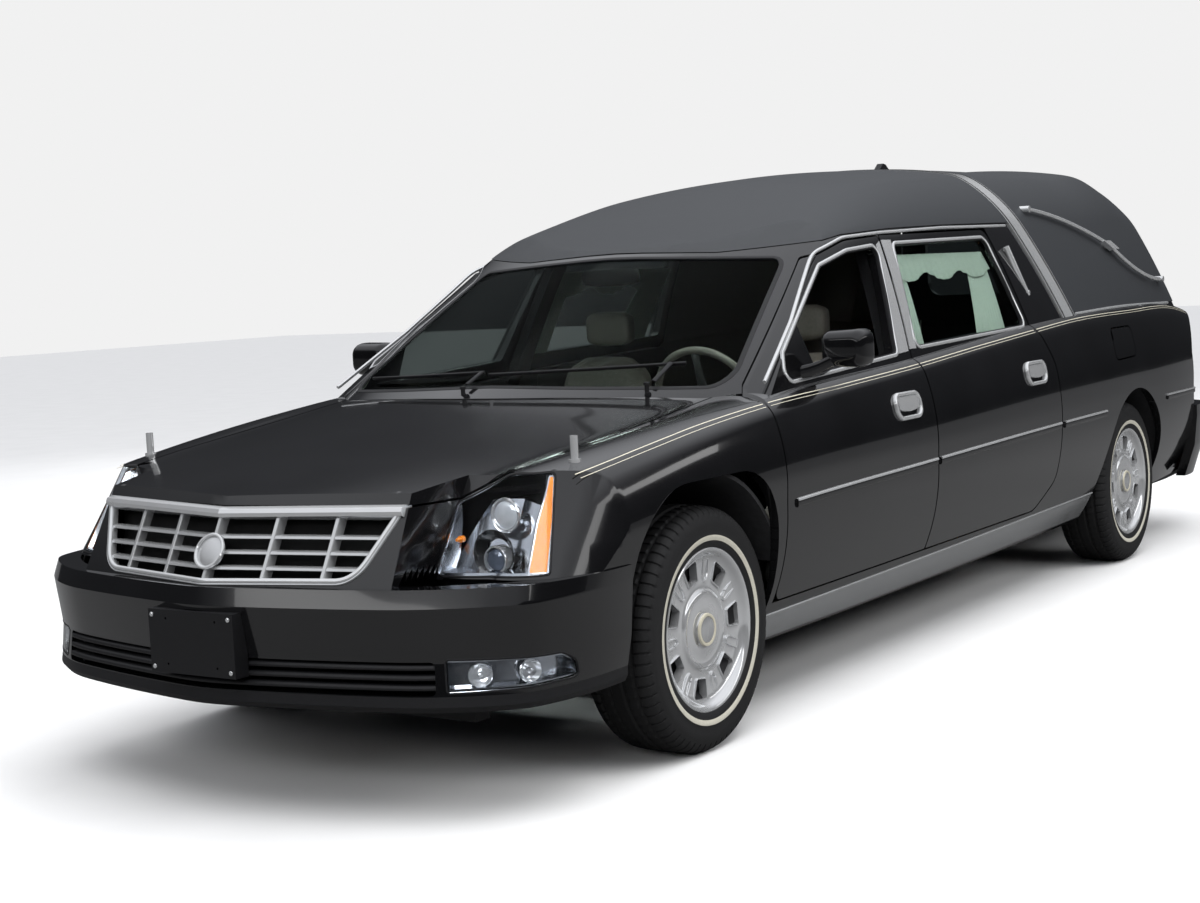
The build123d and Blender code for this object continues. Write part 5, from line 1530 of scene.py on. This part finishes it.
for side, sign in SIDES:
    door = f"front_door_{side}"
    plan = rounded([(-75, -60), (75, -62), (75, 60), (-75, 56)], [30, 34, 34, 26], 9)
    loops = []
    for depth, scale in ((-45, 0.42), (-44, 0.56), (-40, 0.70), (-32, 0.83), (-20, 0.93), (-4, 0.985),
                         (16, 1.0), (34, 0.995), (43, 0.975), (45, 0.955), (44.5, 0.93), (38, 0.915)):
        loops.append(mirror_ring(plan * [0.5 + scale / 2, scale], sign, depth))
    shell_piece = tube_between(f"mirror_shell_{side}", loops)
    creased(shell_piece, 50)
    own(shell_piece, gloss, door, f"mirror_{side}")
    loops = [mirror_ring(plan * 0.90, sign, d) for d in (36, 39.5)]
    own(tube_between(f"mirror_glass_{side}", loops), chrome, door, f"mirror_{side}")
    loops = []
    for x, front, rear, low_z, high_z in ((868, 668, 800, 1012, 1052), (884, 690, 802, 1016, 1056),
                                          (902, 722, 806, 1026, 1064), (922, 752, 812, 1040, 1078),
                                          (940, 768, 820, 1050, 1092)):
        ring = rounded([(front, low_z), (rear, low_z), (rear, high_z), (front, high_z)], 14, 18)
        loops.append(raised(ring, 0, sign * x))
    arm = tube_between(f"mirror_arm_{side}", loops)
    creased(arm, 50)
    own(arm, gloss, door, f"mirror_{side}")
u = np.linspace(0, 1, 16)[:, None]
top_line = rows_at([(600, 1018), (640, 1074), (700, 1116), (798, 1174)], np.linspace(600, 798, 16))
top_line = np.column_stack([np.linspace(600, 798, 16), top_line[:, 0]])
foot_line = np.column_stack([np.linspace(600, 806, 16), np.linspace(1010, 1020, 16)])
band("sail_panel", top_line, foot_line, roof_skin, gloss, "front_door_left", 1)

for tag, body, station, z in (("front", "front_door_left", 1278, 878), ("rear", "rear_door_left", 2450, 908)):
    ring = rounded([(-91, -39), (91, -39), (91, 39), (-91, 39)], [34, 34, 30, 30], 8)
    place = lambda pts: on_body([(station + a, z + b) for a, b in pts])
    on_both(f"handle_ring_{tag}", place(ring), chrome, body, width=15, proud=11, sunk=3, closed=True)
    top = [(a, min(31.0, 30 + 6 * math.cos(a / 60))) for a in np.linspace(-78, 78, 22)]
    low_edge = [(a, -10 - 9 * math.cos(a / 50)) for a in np.linspace(-74, 74, 22)]
    band(f"handle_pull_{tag}", [(station + a, z + b) for a, b in top],
         [(station + a, z + b) for a, b in low_edge], outer_skin, chrome, body, 8)
    band(f"handle_cup_{tag}", [(station + a, z - 8) for a, _ in top],
         [(station + a, z - 34) for a, _ in low_edge], outer_skin, gloss, body, 1.5)


# Small repeats, each grown by its own tree
def new_tree(name, **sizes):
    """A Geometry Nodes tree with a geometry socket and a named input for each size."""
    tree = bpy.data.node_groups.new(name, "GeometryNodeTree")
    tree.interface.new_socket("Geometry", in_out="INPUT", socket_type="NodeSocketGeometry")
    tree.interface.new_socket("Geometry", in_out="OUTPUT", socket_type="NodeSocketGeometry")
    for label, value in sizes.items():
        kind = "NodeSocketInt" if isinstance(value, int) else "NodeSocketFloat"
        tree.interface.new_socket(label, in_out="INPUT", socket_type=kind).default_value = value
    group_in, group_out = tree.nodes.new("NodeGroupInput"), tree.nodes.new("NodeGroupOutput")
    return tree, group_in, group_out


def finish_tree(tree, geometry, group_out, mat):
    """Makes the instances real, gives them a material and sends them out."""
    real, dress = tree.nodes.new("GeometryNodeRealizeInstances"), tree.nodes.new("GeometryNodeSetMaterial")
    dress.inputs["Material"].default_value = mat
    tree.links.new(geometry, real.inputs[0])
    wire(tree.links, (real, 0, dress, "Geometry"), (dress, 0, group_out, 0))


def grow(obj, tree, **sizes):
    """Runs a tree on a piece and leaves a plain mesh in its place."""
    modifier = obj.modifiers.new("grow", "NODES")
    modifier.node_group = tree
    for item in tree.interface.items_tree:
        if item.in_out == "INPUT" and item.name in sizes:
            modifier[item.identifier] = sizes[item.name]
    return applied(obj)


def stitch_tree(mat):
    """Short threads at an even pitch along the piece's edges."""
    tree, start, end = new_tree(f"stitches_{mat.name}", Pitch=0.012, Thread=0.0011, Length=0.008)
    nodes, links = tree.nodes, tree.links
    curve, even = nodes.new("GeometryNodeMeshToCurve"), nodes.new("GeometryNodeResampleCurve")
    even.mode = "LENGTH"
    thread, place = nodes.new("GeometryNodeMeshCylinder"), nodes.new("GeometryNodeInstanceOnPoints")
    along, turn = nodes.new("GeometryNodeInputTangent"), nodes.new("FunctionNodeAlignRotationToVector")
    turn.axis = "Z"
    thread.inputs["Vertices"].default_value = 6
    wire(links, (start, "Geometry", curve, "Mesh"), (curve, 0, even, "Curve"),
                (start, "Pitch", even, "Length"), (start, "Thread", thread, "Radius"),
                (start, "Length", thread, "Depth"), (along, 0, turn, "Vector"), (even, 0, place, "Points"),
                (thread, "Mesh", place, "Instance"), (turn, 0, place, "Rotation"))
    finish_tree(tree, place.outputs[0], end, mat)
    return tree


def stud_tree(mat):
    """Domed heads at the piece's points, flattened along its axis X, Y or Z."""
    tree, start, end = new_tree(f"studs_{mat.name}", Radius=0.005, RiseX=1.0, RiseY=1.0, RiseZ=1.0)
    nodes, links = tree.nodes, tree.links
    points, place = nodes.new("GeometryNodeMeshToPoints"), nodes.new("GeometryNodeInstanceOnPoints")
    ball, shape = nodes.new("GeometryNodeMeshUVSphere"), nodes.new("ShaderNodeCombineXYZ")
    ball.inputs["Segments"].default_value, ball.inputs["Rings"].default_value = 16, 8
    wire(links, (start, "Geometry", points, "Mesh"), (start, "Radius", ball, "Radius"))
    for letter in "XYZ":
        links.new(start.outputs[f"Rise{letter}"], shape.inputs[letter])
    wire(links, (points, 0, place, "Points"), (ball, "Mesh", place, "Instance"), (shape, 0, place, "Scale"))
    finish_tree(tree, place.outputs[0], end, mat)
    return tree


def roller_tree(mat):
    """Rollers across the object at an even pitch, from the piece's first point rearward."""
    tree, start, end = new_tree(f"rollers_{mat.name}", Count=6, Pitch=0.48, Radius=0.0163, Length=0.44)
    nodes, links = tree.nodes, tree.links
    line, place = nodes.new("GeometryNodeMeshLine"), nodes.new("GeometryNodeInstanceOnPoints")
    roller, shift = nodes.new("GeometryNodeMeshCylinder"), nodes.new("ShaderNodeCombineXYZ")
    spot, where = nodes.new("GeometryNodeSampleIndex"), nodes.new("GeometryNodeInputPosition")
    spot.data_type = "FLOAT_VECTOR"
    roller.inputs["Vertices"].default_value = 32
    place.inputs["Rotation"].default_value = (0, math.radians(90), 0)
    wire(links, (start, "Count", line, "Count"), (start, "Geometry", spot, "Geometry"),
                (where, 0, spot, "Value"), (spot, 0, line, "Start Location"), (start, "Pitch", shift, "Y"),
                (shift, 0, line, "Offset"), (start, "Radius", roller, "Radius"),
                (start, "Length", roller, "Depth"), (line, 0, place, "Points"),
                (roller, "Mesh", place, "Instance"))
    finish_tree(tree, place.outputs[0], end, mat)
    return tree


SCREWS = stud_tree(chrome)
ROLLERS = roller_tree(steel)
STITCHES = stitch_tree(satin)
rollers = grow(put("casket_rollers", [(0, 1900, 578)], []), ROLLERS, Count=6)
creased(rollers, 40)
own(rollers, None, "body")
screws = put("plate_screws", [(x, -1110, z) for x in (-138, 138) for z in (392, 530)], [])
own(grow(screws, SCREWS, Radius=0.0065, RiseY=0.5), None, "body")
STRIP_X, STRIP_HALF, STRIP_FOOT, STRIP_TOP = (-470, -330, 330, 470), 11, 596, 603.5
for x in STRIP_X:
    own(block(x - STRIP_HALF, x + STRIP_HALF, 1790, 4800, STRIP_FOOT, STRIP_TOP, f"deck_strip_{x}"), chrome)
pins = put("casket_pin_plates", [(x, s, 600.5) for x in (-400, 400) for s in np.arange(1850, 4801, 295)], [])
own(grow(pins, SCREWS, Radius=0.014, RiseZ=0.35), None, "body")


# Steering wheel
COLUMN = np.array([0, math.cos(math.radians(22)), math.sin(math.radians(22))])
column_at = lambda along: np.array([370, 800, 870]) + COLUMN * along
turned("steering_rim", [(150 + 13 * math.cos(a), 185 + 13 * math.sin(a))
                        for a in np.linspace(0, 2 * np.pi, 19)],
       column_at(0), COLUMN, leather, "body", 72, 60, ("steering_wheel",))
turned("steering_hub", [(105, 0), (105, 38), (118, 50), (138, 50), (150, 42), (157, 24), (159, 0)],
       column_at(0), COLUMN, leather_dark, "body", 48, 35, ("steering_wheel",))
turned("steering_column", [(-120, 0), (-120, 30), (20, 30), (40, 27), (112, 27), (112, 0)],
       column_at(0), COLUMN, leather_dark, "body", 40, 35, ("steering_wheel",))
across_wheel = np.cross(COLUMN, [1, 0, 0])
for index, degrees in enumerate((30, 150, 270)):
    a = math.radians(degrees)
    ray = np.array([1.0, 0, 0]) * math.cos(a) + across_wheel * math.sin(a)
    beside = np.cross(COLUMN, ray)
    loops = []
    for reach, half, thick in ((38, 22, 8), (80, 17, 6.5), (130, 14, 6), (178, 15, 8)):
        middle = column_at(142 + reach * 0.03) + ray * reach
        loops.append(np.array([middle + beside * half * math.cos(t) + COLUMN * thick * math.sin(t)
                               for t in np.linspace(0, 2 * np.pi, 16, endpoint=False)]))
    own(tube_between(f"steering_spoke_{index}", loops), leather_dark, "body", "steering_wheel")


# Seats
def pad(name, sections, power=0.42, count=64):
    """A closed pad through squarish sections, each a centre and two half extents."""
    loops = []
    for centre, u, v in sections:
        ring = []
        for t in np.linspace(0, 2 * np.pi, count, endpoint=False):
            c, d = math.cos(t), math.sin(t)
            ring.append(np.array(centre) + np.array(u) * math.copysign(abs(c) ** power, c)
                        + np.array(v) * math.copysign(abs(d) ** power, d))
        loops.append(np.array(ring))
    return tube_between(name, loops)


def ends(n):
    """Places along a pad and how full it is there, with rounded ends."""
    t = np.linspace(0, 1, n)
    return [(a, max((1 - abs(2 * a - 1) ** 7) ** 0.5, 0.55)) for a in t]


PRESSURE, SWELL_FRAMES, PAD_VOXEL_M = 4, 20, 0.012


def plump(obj, cap):
    """Swells a pad by a short cloth run, each point held within the cap."""
    obj.modifiers.new("even", "REMESH").voxel_size = PAD_VOXEL_M
    applied(obj)
    start = np.array([v.co for v in obj.data.vertices])
    swell = obj.modifiers.new("swell", "CLOTH")
    swell.settings.use_pressure = True
    swell.settings.uniform_pressure_force = PRESSURE
    swell.settings.effector_weights.gravity = 0
    for frame_number in range(1, SWELL_FRAMES + 1):
        scene.frame_set(frame_number)
    grown_obj = obj.evaluated_get(bpy.context.evaluated_depsgraph_get())
    moved = np.array([v.co for v in grown_obj.data.vertices]) - start
    far = np.linalg.norm(moved, axis=1, keepdims=True)
    moved *= np.minimum(1, cap / np.maximum(far, 1e-9))
    obj.modifiers.clear()
    scene.frame_set(1)
    obj.data.vertices.foreach_set("co", (start + moved).astype(np.float32).ravel())
    obj.modifiers.new("smooth", "SUBSURF").levels = 1
    applied(obj)
    obj.data.shade_smooth()
    return obj


def seat_pair(left, mat):
    """A padded piece and its twin across the car."""
    right = flipped(left, left.name.replace("left", "right"))
    for piece in (left, right):
        own(piece, mat, "body", "seats")
    return left


cushion = pad("seat_cushion_left", [((415, 912 + 480 * a, 506 - 12 * a), (232 * e, 0, 0), (0, 0, 72 * e))
                                    for a, e in ends(24)])
seat_pair(plump(cushion, 0.022), leather)
lean = np.array([0, 0.267, 0.964])
back = pad("seat_back_left", [(np.array([415, 1425, 610]) + lean * 470 * a, ((235 - 45 * a) * e, 0, 0),
                              np.array([0, 0.964, -0.267]) * 52 * e) for a, e in ends(24)])
seat_pair(plump(back, 0.02), leather)
rest = pad("seat_headrest_left", [((415, 1560, 1092 + 128 * a), (98 * e, 0, 0), (0, 36 * e, 0))
                                  for a, e in ends(14)])
seat_pair(rest, leather)
base = pad("seat_base_left", [((425, 965 + 412 * a, 356), (194 * e, 0, 0), (0, 0, 70 * e))
                              for a, e in ends(12)], 0.2)
pair(base, chassis_black, "seats")
for x in (300, 530):
    for side, sign in SIDES:
        line = [(sign * x, 930 + 440 * t, 584 - 10 * t + 6 * math.sin(math.pi * t))
                for t in np.linspace(0, 1, 30)]
        moulding(f"cushion_seam_{x}_{side}", [(np.array(q), np.array([0.0, 0, 1])) for q in line],
                 leather_dark, width=7, proud=2, sunk=6)
        thread = put(f"cushion_stitch_{x}_{side}", [(a + sign * 8, b, c + 4) for a, b, c in line], [])
        thread.data.edges.add(len(line) - 1)
        thread.data.edges.foreach_set("vertices", [k for i in range(len(line) - 1) for k in (i, i + 1)])
        own(grow(thread, STITCHES), None, "body")


# Drapes
PLEAT_DEPTH = 2.6
VALANCE_OFF, DRAPE_OFF = 31, 36
CLOTH_THICK_M = 0.0009


def drape(name, top, foot, pleats, off):
    """A pleated sheet between lines of (station, z), hung inside the rear side windows."""
    rows, columns = 26, len(top)
    for side, sign in SIDES:
        grid = np.zeros((rows, columns, 3))
        for j, (a, b) in enumerate(zip(top, foot)):
            for i in range(rows):
                t = i / (rows - 1)
                station, z = a[0] + (b[0] - a[0]) * t, a[1] + (b[1] - a[1]) * t
                point, normal = roof_skin.edge(station, z=z)
                wave = PLEAT_DEPTH * math.sin(2 * math.pi * pleats * j / (columns - 1)) * (0.35 + 0.65 * t)
                grid[i, j] = point - normal * (off - wave)
        grid[..., 0] *= sign
        faces = [(i * columns + j, (i + 1) * columns + j, (i + 1) * columns + j + 1, i * columns + j + 1)
                 for i in range(rows - 1) for j in range(columns - 1)]
        piece = put(f"{name}_{side}", grid, faces)
        solid = piece.modifiers.new("cloth", "SOLIDIFY")
        solid.thickness, solid.offset = CLOTH_THICK_M, 0
        face_outward(applied(piece))
        own(piece, cloth, f"rear_door_{side}", f"drapes_{side}")


span = np.linspace(0, 1, 121)
scallop = lambda t: 1 - 0.3 * abs(math.cos(3 * math.pi * t)) ** 3
drape("drape_valance", [(1625 + 870 * t, 1394) for t in span],
      [(1618 + 890 * t, 1394 - 98 * scallop(t)) for t in span], 18, VALANCE_OFF)
span = np.linspace(0, 1, 61)
drape("drape_fore", [(1630 + 130 * t, 1390) for t in span], [(1600 + 96 * t, 1064) for t in span],
      6, DRAPE_OFF)
drape("drape_rear", [(2330 + 170 * t, 1390) for t in span], [(2160 + 278 * t, 1072) for t in span],
      11, DRAPE_OFF)


# Windshield seal and inside mirror
def on_glass(x, z, off):
    """Point and normal at a height ahead of the windshield."""
    at = lambda u, w: station_on(GLASS_ARCS, u, w)
    normal = np.array([(at(x + 4, z) - at(x - 4, z)) / 8, -1.0, (at(x, z + 4) - at(x, z - 4)) / 8])
    normal /= np.linalg.norm(normal)
    return np.array([x, at(x, z), z]) + normal * off, normal


seal_line = [on_glass(x, z, 0) for x, z in around(grown(APERTURE, -2), 16)]
moulding("windshield_seal", seal_line, trim, width=16, proud=1.5, sunk=8, closed=True)
mirror_pad = pad("inside_mirror", [((0, 950, 1322 + 62 * a), (118 * e, 0, 0), (0, 11 * e, 0))
                                   for a, e in ends(12)], 0.5)
own(mirror_pad, gloss, "body")


# Inner faces of the shell
for piece in (roof, quarters):
    piece.data.materials.append(liner_mat)
    for polygon in piece.data.polygons:
        inward = Vector((polygon.center.x, 0, polygon.center.z - 0.9))
        if polygon.normal.dot(inward.normalized()) < -0.25 and polygon.center.z > 0.62:
            polygon.material_index = 1


# Door cards
deep = lower_surface(95, np.arange(300, 2701, 40.0), 60).solid("deep")
for tag, outline_points in (("front", [(460, 400), (1390, 400), (1390, 985), (460, 935)]),
                            ("rear", [(1585, 400), (2480, 400), (2600, 520), (2600, 930), (2560, 1040),
                                      (1585, 1005)])):
    card = prism_x(rounded(outline_points, 45), 790, 1100, f"door_card_{tag}_left")
    cut(cut(card, inner_low, "INTERSECT"), deep)
    pair(creased(card, 35), leather_dark, f"door_{tag}_left", body=f"{tag}_door_left")
drop(deep)


# Wipers
for tag, foot, blade in (("left", ((535, 306), (541, 1018), (548, 1068)), ((-36, 1052), (588, 1069))),
                         ("right", ((-85, 200), (-84, 1022), (-70, 1058)), ((-636, 1038), (-64, 1059)))):
    u = np.linspace(0, 1, 40)[:, None]
    line = np.array(blade[0]) * (1 - u) + np.array(blade[1]) * u
    for name, off, mat, wide, proud, sunk in (("rubber", 8, rubber, 4, 3, 1.5),
                                              ("blade", 13, trim, 8, 4, 2.5)):
        moulding(f"wiper_{name}_{tag}", [on_glass(x, z, off) for x, z in line], mat, width=wide, proud=proud,
                 sunk=sunk, nodes=("wipers",))
    reach = [np.array(foot[1]), np.array(foot[2])]
    arm = [on_glass(*(reach[0] * (1 - t) + reach[1] * t), 17) for t in np.linspace(0, 1, 12)]
    moulding(f"wiper_arm_{tag}", arm, trim, width=15, proud=3, sunk=3, nodes=("wipers",))
    turned(f"wiper_post_{tag}", [(-22, 0), (-22, 7), (24, 7), (24, 11), (31, 10), (33, 0)],
           (foot[0][0], foot[0][1], 1000), (0, 0, 1), trim, "body", 28, nodes=("wipers",))


# Dark wall behind each tail lamp, painted shade inside the lamp
marks = np.array([v.co for v in lamps_rear.data.vertices]) * 1000 - [0, AXLE, 0]
marks = marks[marks[:, 0] > 0]
(x0, s0, z0), (x1, s1, z1) = marks.min(0), marks.max(0)
WALL_AHEAD, WALL_THICK = 16, 6
for side, sign in SIDES:
    edges = sorted((sign * (x0 - 14), sign * (x1 - 30)))
    wall = block(*edges, s0 - WALL_AHEAD, s0 - WALL_AHEAD + WALL_THICK, z0 - 10, z1 + 6,
                 f"tail_lamp_wall_{side}")
    cut(wall, inner_low, "INTERSECT")
    own(wall, dark, "body")


# Finishes of the solids that stay in view
for part in frame["record"]["subparts"]:
    node = frame["nodes"][part["node"]]
    finish = FINISH[part["material_slot"]]
    if node.material_slots:
        node.material_slots[0].material = finish
    else:
        node.data.materials.append(finish)
helpers = [low_tool, top_tool, nose, tail, low_solid, top_solid, inner_low, inner_top, shell, roof_shell,
           whole, front_zone, rear_zone, front_room, rear_room, door_rooms, arch, rear_arch, lamp_tool,
           hood_tool, hood_room, load_room, load_shut, tail_lamp_tool, load_window, front_cover, front_hollow,
           fog_tool, slot_tool, sill_room]
drop(*helpers)
